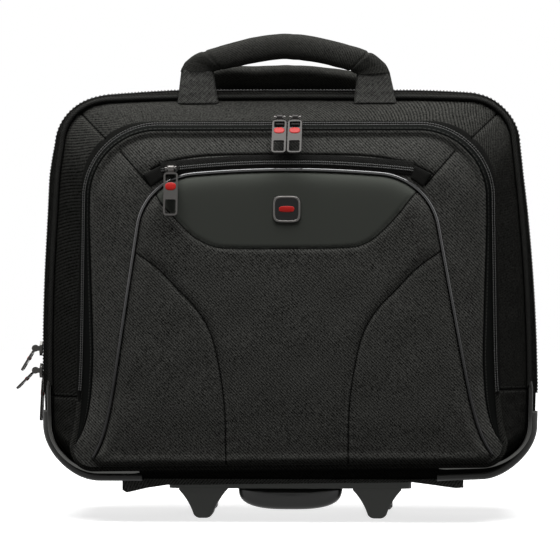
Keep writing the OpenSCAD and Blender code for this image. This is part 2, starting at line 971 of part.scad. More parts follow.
module handle_cup() {
    depth = y_cup_back - y_cup_front;
    color(gloss)
        difference() {
            union() {
                translate([-cup_w / 2, y_cup_front, z_tube_high])
                    cube([cup_w, depth, cup_depth + cup_wall]);
                translate([-cup_w / 2 - cup_lip, y_cup_front - cup_lip, z_top])
                    cube([cup_w + 2 * cup_lip, depth + 2 * cup_lip, cup_lip_t]);
            }
            translate([-cup_w / 2 + cup_wall, y_cup_front + cup_wall, z_cup])
                cube([cup_w - 2 * cup_wall, depth - 2 * cup_wall, cup_depth + cup_lip_t + cut]);
            at_tubes()
                translate([0, 0, z_tube_high - cut])
                    cylinder(r = mid_r + slide_gap, h = cup_wall + 2 * cut);
        }
}

bar_edge = 3;

// Rounded bar in plan, lofted from its top down so that its upper and lower edges are soft
module trolley_grip() {
    half = bar_len / 2;
    end_r = bar_t / 2 - 0.1;
    plan = whole([half, half, -bar_t / 2, bar_t / 2, end_r, end_r, 0, 0]);
    rings = [
        [0, -bar_edge], [bar_edge * 0.3, -bar_edge * 0.3], [bar_edge, 0],
        [bar_h - bar_edge, 0], [bar_h, -bar_edge * 0.6]
    ];
    color(gloss)
        difference() {
            skin([for (r = rings) [for (p = off(plan, r[1])) [p.x, y_tube + p.y, z_top - r[0]]]]);
            at_tubes()
                translate([0, 0, z_bar - cut])
                    cylinder(r = inner_r, h = socket_depth + cut);
            translate([-button_len / 2 - slide_gap, y_tube - button_w / 2 - slide_gap, z_top - button_depth])
                cube([button_len + 2 * slide_gap, button_w + 2 * slide_gap, button_depth + cut]);
        }
}

button_proud = 1.5;
button_body = 6;
button_depth = button_body + button_travel + 1;

module grip_button() {
    color(gunmetal)
        translate([0, y_tube, z_top - button_body])
            linear_extrude(button_body + button_proud)
                rounded_rect(button_len, button_w, button_w / 2 - 0.5);
}

// Lid and organizer: the lid's edge turns in by lid_turn over a depth of lid_round
lid_turn = 4;
lid_round = 5;

module lid_panel() {
    path = whole(case_spec);
    inner = off(path, swell - wall);
    y_rim = y_zip - seam_gap;
    color(cloth)
        loft([
            [y_lid, off(path, swell - lid_turn)],
            [y_lid + lid_round * 0.4, off(path, swell - lid_turn * 0.4)],
            [y_lid + lid_round, off(path, swell)],
            [y_rim, off(path, swell)], [y_rim, inner], [y_lid + lid_skin, inner]
        ]);
}

module front_piping() {
    profile = cord_profile(piping_out, y_lid - piping_r, piping_r);
    color(gloss) {
        sweep(over_top(case_spec, guard_climb), profile);
        sweep([[[-guard_in, z_low], [0, -1]], [[guard_in, z_low], [0, -1]]], profile);
    }
}

bead_r = 2;
bead_edge = 4;
bead_side = 2.2;
bead_h = 4.8;
guard_back = 2;

// Glossy bead over the piping at a bottom corner
module corner_beads() {
    profile = [
        [piping_out - bead_r, y_lid], [swell - bead_edge, y_lid], [swell - bead_edge, y_lid - bead_side],
        [piping_out + bead_r * 0.8, y_lid - bead_h * 0.92], [piping_out, y_lid - bead_h],
        [piping_out - bead_r * 0.8, y_lid - bead_h * 0.84]
    ];
    color(gloss)
        both_sides()
            sweep(round_foot(case_spec, guard_in, guard_climb), profile);
}

// Band beside the bead, wrapped on to the lid's edge
module corner_bands() {
    inner_edge = swell - bead_edge + seam_gap;
    profile = [
        [inner_edge, y_lid + seam_gap], [swell - lid_turn * 0.4, y_lid + lid_round * 0.4],
        [swell, y_lid + lid_round], [swell, y_zip - guard_back], [swell + guard_t, y_zip - guard_back],
        [swell + guard_t, y_lid + lid_round * 0.8], [swell - lid_turn * 0.1, y_lid - guard_t * 0.3],
        [inner_edge, y_lid - guard_t]
    ];
    color(moulded)
        both_sides()
            sweep(round_foot(case_spec, guard_in, guard_band_climb), profile);
}

// The organizer's wall slopes from the lid's face to a short straight rim that carries half of the zip
module organizer_wall_band() {
    rim = off(whole(grown(organizer_spec, rim_out)), 0);
    rim_inner = off(whole(grown(organizer_spec, rim_out)), -organizer_wall);
    root = off(whole(case_spec), piping_seat);
    root_inner = off(whole(case_spec), piping_seat - organizer_wall);
    color(cloth)
        loft([
            [y_parting, rim], [y_wall_end, rim], [y_lid, root],
            [y_lid, root_inner], [y_wall_end, rim_inner], [y_parting, rim_inner]
        ], true);
}

organizer_zip_end = 0.24;

module organizer_zip_outer() {
    color(gloss)
        zip_half_band(over_top(grown(organizer_spec, rim_out), organizer_zip_end), 0, rim_w, y_parting, 1);
}

flap_rim = 0.5;
flap_turn = 3;
flap_round = 1.6;

module organizer_zip_inner() {
    path = over_top(grown(organizer_spec, rim_out - flap_rim), organizer_zip_end);
    color(gloss)
        zip_half_band(path, 0, rim_w, y_flap_back, -1);
}

// The flap's padded face, and the rim behind it that carries half of the zip
y_rim_front = y_face + flap_skin;
y_rim_turn = y_flap_back - rim_w - flap_round;
rim_turn_out = rim_out - flap_turn / 2;
rim_front_out = lerp(flap_rim, rim_turn_out, (flap_skin - flap_round) / (y_rim_turn - y_face - flap_round));

module organizer_flap() {
    color(cloth)
        loft([
            [y_face, off(whole(grown(organizer_spec, -flap_turn)), 0)],
            [y_face + flap_round, off(whole(grown(organizer_spec, flap_rim)), 0)],
            [y_rim_front, off(whole(grown(organizer_spec, rim_front_out)), 0)]
        ]);
}

module organizer_rim() {
    rim = off(whole(grown(organizer_spec, rim_out - flap_rim)), 0);
    inner = off(whole(organizer_spec), -organizer_wall);
    color(cloth)
        loft([
            [y_rim_front, off(whole(grown(organizer_spec, rim_front_out)), 0)],
            [y_rim_turn, off(whole(grown(organizer_spec, rim_turn_out)), 0)],
            [y_flap_back - rim_w, rim], [y_flap_back, rim], [y_flap_back, inner], [y_rim_front, inner]
        ], true);
}

pocket_seam = 14;
pocket_round = 20;

module front_pocket() {
    inner = off(whole(shrunk(pocket_spec, pocket_seam)), 0);
    color(cloth)
        loft([
            [y_pocket, off(whole(shrunk(pocket_spec, pocket_round)), 0)],
            [y_pocket + pocket_depth * 0.1, off(whole(shrunk(pocket_spec, pocket_round * 0.6)), 0)],
            [y_pocket + pocket_depth * 0.4, off(whole(shrunk(pocket_spec, pocket_round * 0.2)), 0)],
            [y_face, off(whole(pocket_spec), 0)], [y_face, inner], [y_pocket + pocket_skin, inner]
        ]);
}

module pocket_piping() {
    profile = cord_profile(pocket_piping_r + pocket_piping_gap, y_face - pocket_piping_r, pocket_piping_r);
    color(metal)
        sweep(over_top(pocket_spec, 0), profile);
}

// Zip band along an arc, with the two coils proud of the tape
module pocket_zip() {
    steps = 16;
    rows = [[-zip_w / 2, zip_w / 2, tape_t], [-coil_w, coil_w, zip_t]];
    color(gloss)
        union()
            for (row = rows)
                slab(
                    concat(
                        [for (i = [0:steps]) let (a = lerp(-zip_angle, zip_angle, i / steps))
                            [(zip_arc_r + row[0]) * sin(a), z_zip_arc + (zip_arc_r + row[0]) * cos(a)]],
                        [for (i = [steps:-1:0]) let (a = lerp(-zip_angle, zip_angle, i / steps))
                            [(zip_arc_r + row[1]) * sin(a), z_zip_arc + (zip_arc_r + row[1]) * cos(a)]]
                    ),
                    y_face - row[2], y_face
                );
}

badge_r = 4;

module badge_plate() {
    color(gloss)
        translate([0, y_pocket, pocket_spec[3] - badge_drop])
            rotate([90, 0, 0])
                linear_extrude(badge_t)
                    rounded_rect(badge_w, badge_h, badge_r);
}

// Carry handles, drawn upright over a seam at z = 0 and y = 0

shoulder_drop = 37.4;

module handle_straps(h) {
    phi = asin(grip_len / 2 / arch_r);
    z_arch = h - arch_r - grip_h / 2;
    x_out = handle_span / 2 + strap_w / 2;
    x_in = handle_span / 2 - strap_w / 2;
    z_shoulder = h - shoulder_drop;
    end_out = [(arch_r + grip_h / 2) * sin(phi), z_arch + (arch_r + grip_h / 2) * cos(phi)];
    end_in = [(arch_r - grip_h / 2) * sin(phi), z_arch + (arch_r - grip_h / 2) * cos(phi)];
    shoulder = [
        for (i = [0:arc_steps])
            let (a = 90 * i / arc_steps)
            [end_out.x + (x_out - end_out.x) * cos(a), z_shoulder + (end_out.y - z_shoulder) * sin(a)]
    ];
    color(smooth_cloth)
        both_sides()
            slab(
                concat([[x_in, 0], [x_out, 0]], shoulder, [end_in, [x_in, lerp(z_shoulder, end_in.y, 0.5)]]),
                -strap_t / 2, strap_t / 2
            );
}

module handle_grip(h) {
    phi = asin(grip_len / 2 / arch_r);
    color(smooth_cloth)
        translate([0, 0, h - arch_r - grip_h / 2])
            rotate([90, 0, 0])
                rotate([0, 0, 90 - phi])
                    rotate_extrude(angle = 2 * phi, $fn = 96)
                        polygon([
                            for (i = [0:15])
                                let (a = 360 * i / 16)
                                [arch_r + grip_h / 2 * cos(a), grip_d / 2 * sin(a)]
                        ]);
}

y_front_handle = y_lid - 2 * piping_r - seam_gap - strap_t / 2;
// Drop of the front handle's hinge below the top of the lid
front_handle_drop = 5;
z_front_handle = z_high - front_handle_drop;
// Distance of the rear handle's hinge behind the rear zip
rear_handle_back = 10;
y_rear_handle = rear_zip_y + rear_handle_back;
// Gap between the gusset and the rear handle's straps
rear_handle_gap = 0.7;
z_rear_handle = z_top + strap_t / 2 + rear_handle_gap;

module at_front_handle() {
    translate([0, y_front_handle, z_front_handle])
        children();
}

module at_rear_handle() {
    translate([0, y_rear_handle, z_rear_handle])
        rotate([rear_handle_lean, 0, 0])
            children();
}

module front_handle_straps() {
    at_front_handle()
        handle_straps(front_handle_h);
}

module front_handle_grip() {
    at_front_handle()
        handle_grip(front_handle_h);
}

module rear_handle_straps() {
    at_rear_handle()
        handle_straps(rear_handle_h);
}

module rear_handle_grip() {
    at_rear_handle()
        handle_grip(rear_handle_h);
}

// Zip sliders: plate on the track, which runs along X, with two lugs and a rod over it
// The rod lies along the track, or across it when turned

slider_nose = 3.2;

module slider(across) {
    color(gunmetal) {
        linear_extrude(slider_t)
            polygon([
                [-slider_len / 2, -slider_w / 2 + slider_nose],
                [-slider_len / 2 + slider_nose, -slider_w / 2],
                [slider_len / 2 - slider_nose, -slider_w / 2],
                [slider_len / 2, -slider_w / 2 + slider_nose],
                [slider_len / 2, slider_w / 2 - slider_nose],
                [slider_len / 2 - slider_nose, slider_w / 2],
                [-slider_len / 2 + slider_nose, slider_w / 2],
                [-slider_len / 2, slider_w / 2 - slider_nose]
            ]);
        rotate([0, 0, across ? 90 : 0]) {
            for (x = [-lug_gap / 2 - lug_t, lug_gap / 2])
                translate([x, 0, 0]) {
                    translate([0, -rod_r - 0.9, slider_t - 0.1])
                        cube([lug_t, 2 * rod_r + 1.8, rod_h - slider_t + 0.1]);
                    translate([0, 0, rod_h])
                        rod_x(rod_r + 0.9, 0, lug_t);
                }
            translate([0, 0, rod_h])
                rod_x(rod_r, -lug_gap / 2 - cut / 2, lug_gap / 2 + cut / 2);
        }
    }
}

// Zip pull: an eye along X at the origin and a framed tab with two windows that hangs along -Y
pull_neck = 3.1;
pull_corner = 3;
plate_share = 0.44;

module pull(length) {
    body = length - eye_r - pull_neck + 1;
    top = -eye_r - pull_neck + 1 + eye_r * 0.5;
    window_w = pull_w - 2 * pull_rail;
    room = body - 2 * pull_rail;
    upper = room * 0.2;
    lower = room * (1 - plate_share) - upper;
    color(gunmetal) {
        difference() {
            union() {
                rod_x(eye_r, -eye_len / 2, eye_len / 2);
                translate([-eye_len / 2, top - 1, -pull_t / 2])
                    cube([eye_len, -top + 1, pull_t]);
            }
            rod_x(rod_r + eye_gap, -eye_len, eye_len);
        }
        translate([0, top - body / 2, -pull_t / 2])
            linear_extrude(pull_t)
                difference() {
                    rounded_rect(pull_w, body, pull_corner);
                    translate([0, body / 2 - pull_rail - upper / 2])
                        rounded_rect(window_w, upper, min(1.2, upper / 2 - 0.1));
                    translate([0, -body / 2 + pull_rail + lower / 2])
                        rounded_rect(window_w, lower, 1.2);
                }
    }
}

// Placement of the sliders and pulls
slider_lift = 0.4;
organizer_slider_x = slider_len / 2 + 0.4;
organizer_slope = 15;
organizer_lift = 1.1;
organizer_pull_swing = 40;
y_organizer_slider = y_parting - seam_gap / 2;
z_organizer_slider = organizer_spec[3] + rim_out + zip_t + organizer_lift;

module at_organizer_slider(sign) {
    translate([sign * organizer_slider_x, y_organizer_slider, z_organizer_slider])
        rotate([organizer_slope, 0, 0])
            children();
}

module organizer_slider_left() {
    at_organizer_slider(-1)
        slider(false);
}

module organizer_slider_right() {
    at_organizer_slider(1)
        slider(false);
}

// The tab is narrower than two sliders side by side, so the two tabs hang next to each other
module organizer_pull(sign) {
    at_organizer_slider(sign)
        translate([0, 0, rod_h])
            rotate([-organizer_slope - organizer_pull_swing + 90, 0, 0])
                pull(pull_len);
}

module organizer_pull_left() {
    organizer_pull(-1);
}

module organizer_pull_right() {
    organizer_pull(1);
}

pocket_pull_swing = 10;

module pocket_slider() {
    translate([0, y_face - zip_t - slider_lift, z_zip_arc])
        rotate([0, -pocket_slider_angle, 0])
            translate([0, 0, zip_arc_r])
                rotate([90, 0, 0])
                    slider(false);
}

module pocket_pull() {
    a = -pocket_slider_angle;
    translate([zip_arc_r * sin(a), y_face - zip_t - slider_lift - rod_h, z_zip_arc + zip_arc_r * cos(a)])
        rotate([90 - pocket_pull_swing, 0, 0])
            pull(pull_len);
}

// Side zips: their sliders run straight, so they stand clear of the side's bow
z_zip_end = height_at(case_spec, zip_end);
side_lift = zip_t + 1.3;

module at_side_slider(y, rise) {
    z = z_zip_end + rise;
    f = side_at(case_spec, share_at(case_spec, z));
    translate([-f[0].x - (swell + side_lift) * f[1].x, y, z])
        rotate([0, -90 + side_angle(case_spec), 0])
            children();
}

module side_pull(y, rise, swing, length) {
    at_side_slider(y, rise)
        translate([0, 0, rod_h])
            rotate([0, 90 - side_angle(case_spec), 0])
                rotate([0, swing, 0])
                    rotate([90, 0, -90])
                        pull(length);
}

upper_swing = 31;
lower_swing = 45;
rear_swing = 3;

module main_slider_upper() {
    at_side_slider(y_zip, slider_rise + slider_pitch)
        slider(true);
}

module main_pull_upper() {
    side_pull(y_zip, slider_rise + slider_pitch, upper_swing, short_pull_len);
}

module main_slider_lower() {
    at_side_slider(y_zip, slider_rise)
        slider(true);
}

module main_pull_lower() {
    side_pull(y_zip, slider_rise, lower_swing, short_pull_len);
}

module rear_slider() {
    at_side_slider(rear_zip_y, rear_slider_rise)
        slider(true);
}

module rear_pull() {
    side_pull(rear_zip_y, rear_slider_rise, rear_swing, pull_len);
}

// The drawing is symmetric about its own middle plane, and is placed so that its overall box is centred
box_shift_x = 12.4;
box_shift_y = 24.04;

module placed() {
    translate([box_shift_x, box_shift_y, 0])
        children();
}

placed() main_gusset();
placed() back_panel();
placed() rear_piping();
placed() laptop_divider();
placed() lining_board();
placed() main_zip_rear();
placed() laptop_zip();
placed() base_tray();
placed() front_feet();
placed() base_grip();
placed() base_flap();
placed() wheel_brackets();
placed() wheel_axles();
placed() axle_bushes();
placed() base_screws();
placed() outer_tubes();
placed() tube_foot();
placed() handle_cup();
placed() middle_tubes();
placed() middle_collars();
placed() inner_tubes();
placed() trolley_grip();
placed() grip_button();
placed() left_hub();
placed() left_tyre();
placed() right_hub();
placed() right_tyre();
placed() lid_panel();
placed() front_piping();
placed() corner_beads();
placed() corner_bands();
placed() organizer_wall_band();
placed() main_zip_front();
placed() organizer_zip_outer();
placed() front_handle_straps();
placed() front_handle_grip();
placed() rear_handle_straps();
placed() rear_handle_grip();
placed() organizer_flap();
placed() organizer_rim();
placed() organizer_zip_inner();
placed() front_pocket();
placed() pocket_piping();
placed() pocket_zip();
placed() badge_plate();
placed() organizer_slider_left();
placed() organizer_pull_left();
placed() organizer_slider_right();
placed() organizer_pull_right();
placed() pocket_slider();
placed() pocket_pull();
placed() main_slider_upper();
placed() main_pull_upper();
placed() main_slider_lower();
placed() main_pull_lower();
placed() rear_slider();
placed() rear_pull();
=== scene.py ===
"""Rolling laptop case: soft pieces, hardware, materials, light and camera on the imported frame."""

import json
import math

import bpy
import numpy as np
from mathutils import Matrix, Vector


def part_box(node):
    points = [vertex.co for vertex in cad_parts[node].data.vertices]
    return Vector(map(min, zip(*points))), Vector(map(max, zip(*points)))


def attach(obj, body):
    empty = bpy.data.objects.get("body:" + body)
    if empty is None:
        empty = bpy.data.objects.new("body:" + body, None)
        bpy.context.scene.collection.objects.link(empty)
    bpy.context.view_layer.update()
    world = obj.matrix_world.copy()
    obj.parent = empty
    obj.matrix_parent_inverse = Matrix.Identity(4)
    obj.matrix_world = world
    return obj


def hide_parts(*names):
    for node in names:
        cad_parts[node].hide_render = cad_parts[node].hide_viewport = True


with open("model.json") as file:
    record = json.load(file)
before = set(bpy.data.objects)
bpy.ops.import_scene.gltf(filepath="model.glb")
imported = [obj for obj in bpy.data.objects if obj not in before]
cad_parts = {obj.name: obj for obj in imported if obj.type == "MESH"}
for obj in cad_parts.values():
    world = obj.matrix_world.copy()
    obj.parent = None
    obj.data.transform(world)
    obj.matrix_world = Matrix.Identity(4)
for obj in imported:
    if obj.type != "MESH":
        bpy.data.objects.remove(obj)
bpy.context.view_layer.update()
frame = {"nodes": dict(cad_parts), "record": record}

# Sizes are in millimetres in the case's own frame. Its middle plane is x = 0, and the middle of its main
# compartment is y = 0.
low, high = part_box("main_gusset")
ORIGIN = np.array([(low.x + high.x) / 2, (low.y + high.y) / 2, 0])

# Outlines: half width at bottom and top, bottom, top, bottom and top corner radius, side bow, side flare and
# crown radius
CASE = (212.5, 203, 45, 379, 41, 40, 4.5, 0, 0)
ORGANIZER = (190.5, 173, 50, 345.5, 16.5, 57, 0, 14.5, 0)
POCKET = (180, 133, 51, 312, 6, 55, 0, 10, 950)
# The wall round the case stands this far out of its outline, and is this thick
SWELL, WALL = 8.5, 5.0
# Depths: faces of the pocket and the flap, rim, front edge of the organizer's wall
Y_POCKET, Y_FACE, Y_RIM, Y_WALL = -118.5, -110.5, -101.3, -98.0
# Depths: face of the lid, front and rear end of the wall round the case, face of the back
Y_LID, Y_ZIP, Y_REAR, Y_BACK = -67.5, -55.5, 55.5, 60.5
# Points in each run of half an outline: bottom, low corner, side, high corner, top
COUNTS = (26, 18, 90, 26, 34)
# How the soft case sinks inside its outline: depth, where along x or z it starts and is full, power
SAGS = {
    "top_middle": (0.5, 0, 90, 1),
    "top_left": (4.4, 100, 172, 1.3),
    "top_right": (3, 98, 170, 2),
    "side_right": (5.2, 120, 310, 1),
    "side_right_high": (0.4, 280, 330, 1),
    "side_left": (1.5, 310, 340, 1),
    "foot_right": (2.2, 105, 170, 1.5),
}
TOP_SAG = 1.4
# Rounding of the corners, left and right
HIGH_ROUND, LOW_ROUND = (0, 1), (1.5, 2.2)
# Swelling of the left side: size, height and reach
SWOLLEN = (1.5, 318, 34)
# Piping follows this share of the sinking, and is drawn up along the bottom, by more towards the right
PIPED_SHARE, DRAWN_UP, DRAWN_RIGHT = 0.6, 1.9, 4.0
# The organizer's foot rises by this in the middle and by this to a millimetre of x
FOOT_LIFT, FOOT_SLOPE = 1.75, 0.0125
# Value of a seam's distance on faces that have no seam
NO_SEAM = -50.0


# outlines


def ramp(value, start, end):
    """0 up to start, 1 from end on, straight between."""
    return np.clip((value - start) / (end - start), 0, 1)


def runs(spec, t0=0, t1=1):
    """Right half of an outline as five runs of (points, normals): bottom, low corner, side, high corner, top.

    The corners are arcs. The side is the line that touches both, plus a parabola for its bow, minus a
    straight fall and a tenth power for its flare. A crowned top is an arc that touches both corners."""
    wb, wt, z0, z1, rb, rt, bow, flare, crown = spec
    nb, nc, ns, nk, nt = COUNTS
    reach = wt - rt
    fall = turn = 0.0
    if crown:
        fall = crown - rt - math.sqrt((crown - rt) ** 2 - reach**2)
        turn = math.asin(reach / (crown - rt))
    foot, head = np.array([wb - rb, z0 + rb]), np.array([reach, z1 - rt - fall])
    run = head - foot
    lean = math.atan2(run[1], run[0]) - math.acos((rb - rt) / math.hypot(*run))
    n = np.array([math.cos(lean), math.sin(lean)])

    def arc(centre, r, a0, a1, k):
        a = np.linspace(a0, a1, k)
        u = np.stack([np.cos(a), np.sin(a)], 1)
        return np.asarray(centre) + r * u, u

    t = t0 + (t1 - t0) * np.linspace(0, 1, ns) ** 1.3
    dip = 4 * bow * t * (1 - t) - flare * ((1 - t) - (1 - t) ** 10)
    side = foot + rb * n + t[:, None] * (run + (rt - rb) * n) + dip[:, None] * n
    bottom = np.stack([np.linspace(0, foot[0], nb), np.full(nb, z0)], 1)
    if crown:
        top = arc((0, z1 - crown), crown, math.pi / 2 - turn, math.pi / 2, nt)
    else:
        top = np.stack([np.linspace(reach, 0, nt), np.full(nt, z1)], 1), np.tile([0, 1], (nt, 1))
    return [
        (bottom, np.tile([0, -1], (nb, 1))),
        arc(foot, rb, -math.pi / 2, lean, nc),
        (side, np.tile(n, (ns, 1))),
        arc(head, rt, lean, math.pi / 2 - turn, nk),
        top,
    ]


def joined(parts):
    """Runs put end to end without their doubled points."""
    p = np.concatenate([parts[0][0]] + [q[0][1:] for q in parts[1:]])
    n = np.concatenate([parts[0][1]] + [q[1][1:] for q in parts[1:]])
    return p, n


def both(path, closed):
    """A right-hand path from the bottom to the top, and its mirror image back down."""
    p, n = path
    flip = np.array([-1, 1])
    back = slice(-2, 0 if closed else None, -1)
    return np.concatenate([p, (p * flip)[back]]), np.concatenate([n, (n * flip)[back]])


def whole(spec):
    """The closed outline, from the middle of its bottom."""
    return both(joined(runs(spec)), True)


def over_top(spec, t0):
    """From share t0 of the right side, over the top, to the same height on the left."""
    return both(joined(runs(spec, t0)[2:]), False)


def round_foot(spec, x0, t1):
    """From x0 on the underside, round the right bottom corner, to share t1 of the side."""
    r = runs(spec, 0, t1)
    start = np.array([[x0, spec[2]]]), np.array([[0, -1]])
    p, n = joined(r[1:3])
    return np.concatenate([start[0], p]), np.concatenate([start[1], n])


def grown(spec, d):
    """Moved out by d at the sides and top, with the foot kept in place."""
    s = list(spec)
    s[1], s[3], s[5], s[7] = s[1] + d, s[3] + d, max(s[5] + d, 3), s[7] - d
    return tuple(s)


def shrunk(spec, d):
    """Moved in by d, half as far at the foot."""
    s = list(spec)
    s[0], s[1], s[2], s[3], s[5] = s[0] - d, s[1] - d, s[2] + d / 2, s[3] - d, max(s[5] - d, 3)
    s[8] = s[8] - d if s[8] else 0.0
    return tuple(s)


def sag(key, value):
    """Depth of one of the case's sags at places along it: a ramp to a power."""
    depth, start, end, power = SAGS[key]
    return depth * ramp(value, start, end) ** power


def give(path):
    """How far the soft case sinks inside its outline.

    Its corners round off, its top droops towards both ends, its right side leans in and its right foot lifts.
    Its left side swells by a bell curve below the top corner."""
    p, n = path
    x, z = p[:, 0], p[:, 1]
    right, left, up, down = (np.clip(v, 0, 1) for v in (n[:, 0], -n[:, 0], n[:, 1], -n[:, 1]))
    rounding = np.where(n[:, 1] > 0, np.where(x > 0, *HIGH_ROUND[::-1]), np.where(x > 0, *LOW_ROUND[::-1]))
    total = (2 * n[:, 0] * n[:, 1]) ** 2 * rounding
    total += (TOP_SAG + sag("top_middle", x) + sag("top_left", -x) + sag("top_right", x)) * up**2
    total += (sag("side_right", z) + sag("side_right_high", z)) * right**2 + sag("side_left", z) * left**2
    size, height, reach = SWOLLEN
    return total + sag("foot_right", x) * down**2 - size * groove(z - height, reach) * left


def eased(path, share=1):
    """The outline with a share of the case's sinking."""
    p, n = path
    return p - share * give(path)[:, None] * n, n


def piped(path):
    """Line of the front piping: the eased outline, drawn up along the bottom, most on the right."""
    p, n = eased(path, PIPED_SHARE)
    draw = (DRAWN_UP + DRAWN_RIGHT * ramp(p[:, 0], -120, 160)) * np.clip(-n[:, 1], 0, 1) ** 2
    return p - draw[:, None] * n, n


def skewed(points):
    """The organizer hangs a little askew: its foot rises towards the right."""
    points = np.array(points)
    x, z = points[..., 0], points[..., 2]
    points[..., 2] = z + (FOOT_LIFT + FOOT_SLOPE * x) * ramp(z, 110, 50)
    return points


def soft_ring(path, out, y):
    """Ring of the soft case: the further out it lies, the more it rounds off."""
    return ring_at(path, out - give(path) * ramp(out, -1, 8), y)


def evenly(path, step):
    """The path with points at an even spacing."""
    p, n = path
    s = np.concatenate([[0], np.cumsum(np.linalg.norm(np.diff(p, axis=0), axis=1))])
    at = np.linspace(0, s[-1], max(int(s[-1] / step), 2))
    pick = lambda a: np.stack([np.interp(at, s, a[:, k]) for k in range(2)], 1)
    m = pick(n)
    return pick(p), m / np.linalg.norm(m, axis=1)[:, None]


def ring_at(path, out, y):
    """The outline moved out by a distance, at depth y, in space. Both may be arrays over the path."""
    p, n = path
    q = p + np.broadcast_to(out, len(p))[:, None] * n
    return np.stack([q[:, 0], np.broadcast_to(y, len(p)), q[:, 1]], 1)


# surfaces


def ripple(a, b, size, seed):
    """Soft uneven swell between -1 and 1: the mean of five sine waves, from 0.7 to 1.6 times size long."""
    total = 0.0
    for k in range(5):
        turn = seed * 1.7 + k * 2.4
        wave = 2 * math.pi / (size * (0.7 + 0.23 * k))
        total = total + np.sin(wave * (a * math.cos(turn) + b * math.sin(turn)) + 3.1 * k + seed)
    return total / 5


def seam_field(x, z, line):
    """Signed distance from points to a seam, and the length along it.

    The seam is a line of straight pieces. Its ends are drawn out straight, so that the sign never jumps."""
    line = np.asarray(line, float)
    reach = 900.0
    first, last = line[0] - line[1], line[-1] - line[-2]
    drawn = [line[0] + reach * first / np.hypot(*first), *line, line[-1] + reach * last / np.hypot(*last)]
    best = np.full(np.shape(x), 1e9)
    gap, run, done = np.zeros_like(best), np.zeros_like(best), -reach
    for (ax, az), (bx, bz) in zip(drawn[:-1], drawn[1:]):
        size = math.hypot(bx - ax, bz - az)
        ux, uz = (bx - ax) / size, (bz - az) / size
        t = np.clip((x - ax) * ux + (z - az) * uz, 0, size)
        away = np.hypot(x - ax - t * ux, z - az - t * uz)
        near = away < best
        side = np.where(ux * (z - az) >= uz * (x - ax), 1, -1)
        best = np.where(near, away, best)
        gap = np.where(near, away * side, gap)
        run = np.where(near, done + t, run)
        done += size
    return gap, run


def groove(distance, width):
    """1 on a line, falling to 0 beside it by a bell curve."""
    return np.exp(-((distance / width) ** 2))


def smooth_line(points, count):
    """Rounded line through points: a Catmull-Rom curve, sampled evenly in its parameter."""
    p = np.asarray(points, float)
    p = np.concatenate([[2 * p[0] - p[1]], p, [2 * p[-1] - p[-2]]])
    t = np.linspace(0, len(p) - 3 - 1e-9, count)
    i = t.astype(int)
    f = (t - i)[:, None]
    a, b, c, d = p[i], p[i + 1], p[i + 2], p[i + 3]
    return 0.5 * (2 * b + (c - a) * f + (2 * a - 5 * b + 4 * c - d) * f**2 + (3 * b - a - 3 * c + d) * f**3)


# Seams, right-hand side or whole, in x and z
SEAMS = {
    "corner": [(190, 368.5), (160.5, 339.5)],
    "end": [(225, 111.5), (150, 111.5)],
    "mitre": [(157, 340), (121.8, 299.4)],
    "facing": smooth_line([
        (-121.5, 313.5), (-112.6, 317.8), (-103.7, 320.9), (-94.9, 323), (-77.1, 325.6), (-50.5, 326.8),
        (-15.1, 327), (47, 326.6), (73.6, 325.4), (91.3, 322.7), (109.1, 318), (117.9, 314.3),
        (128.6, 309.5)], 60),
    "yoke": smooth_line([
        (-124, 303), (-120.7, 299), (-111.9, 284.8), (-98.6, 269.7), (-85.3, 256.4), (-76, 250.3),
        (-67.7, 246.5), (-58, 244.3), (-32.3, 243.5), (0, 243.6), (32.3, 243.8), (58, 245), (67.7, 247.5),
        (76, 252), (85.3, 260), (98.6, 274), (111.9, 291), (120.7, 299), (124, 303)], 70),
    "curve": smooth_line([
        (139, 243.5), (115, 226.5), (98, 209), (79.5, 189.5), (67, 167.5), (59.5, 136.5), (55, 101),
        (54, 52)], 50),
}
LENGTHS = {key: float(np.linalg.norm(np.diff(line, axis=0), axis=1).sum()) for key, line in SEAMS.items()}
# The rim's seam runs all round
LENGTHS["rim"] = 4000.0


def seam_values(**places):
    """Distance to each named seam and length along it, for points at the x and z given with its name."""
    values = {}
    for key, (x, z) in places.items():
        values[key], values[key + "_run"] = seam_field(x, z, SEAMS[key])
    return values


def dent(values, key, width):
    """1 on a seam between its two ends, falling to 0 beside it."""
    run = values[key + "_run"]
    return groove(values[key], width) * ((run > 0) & (run < LENGTHS[key]))


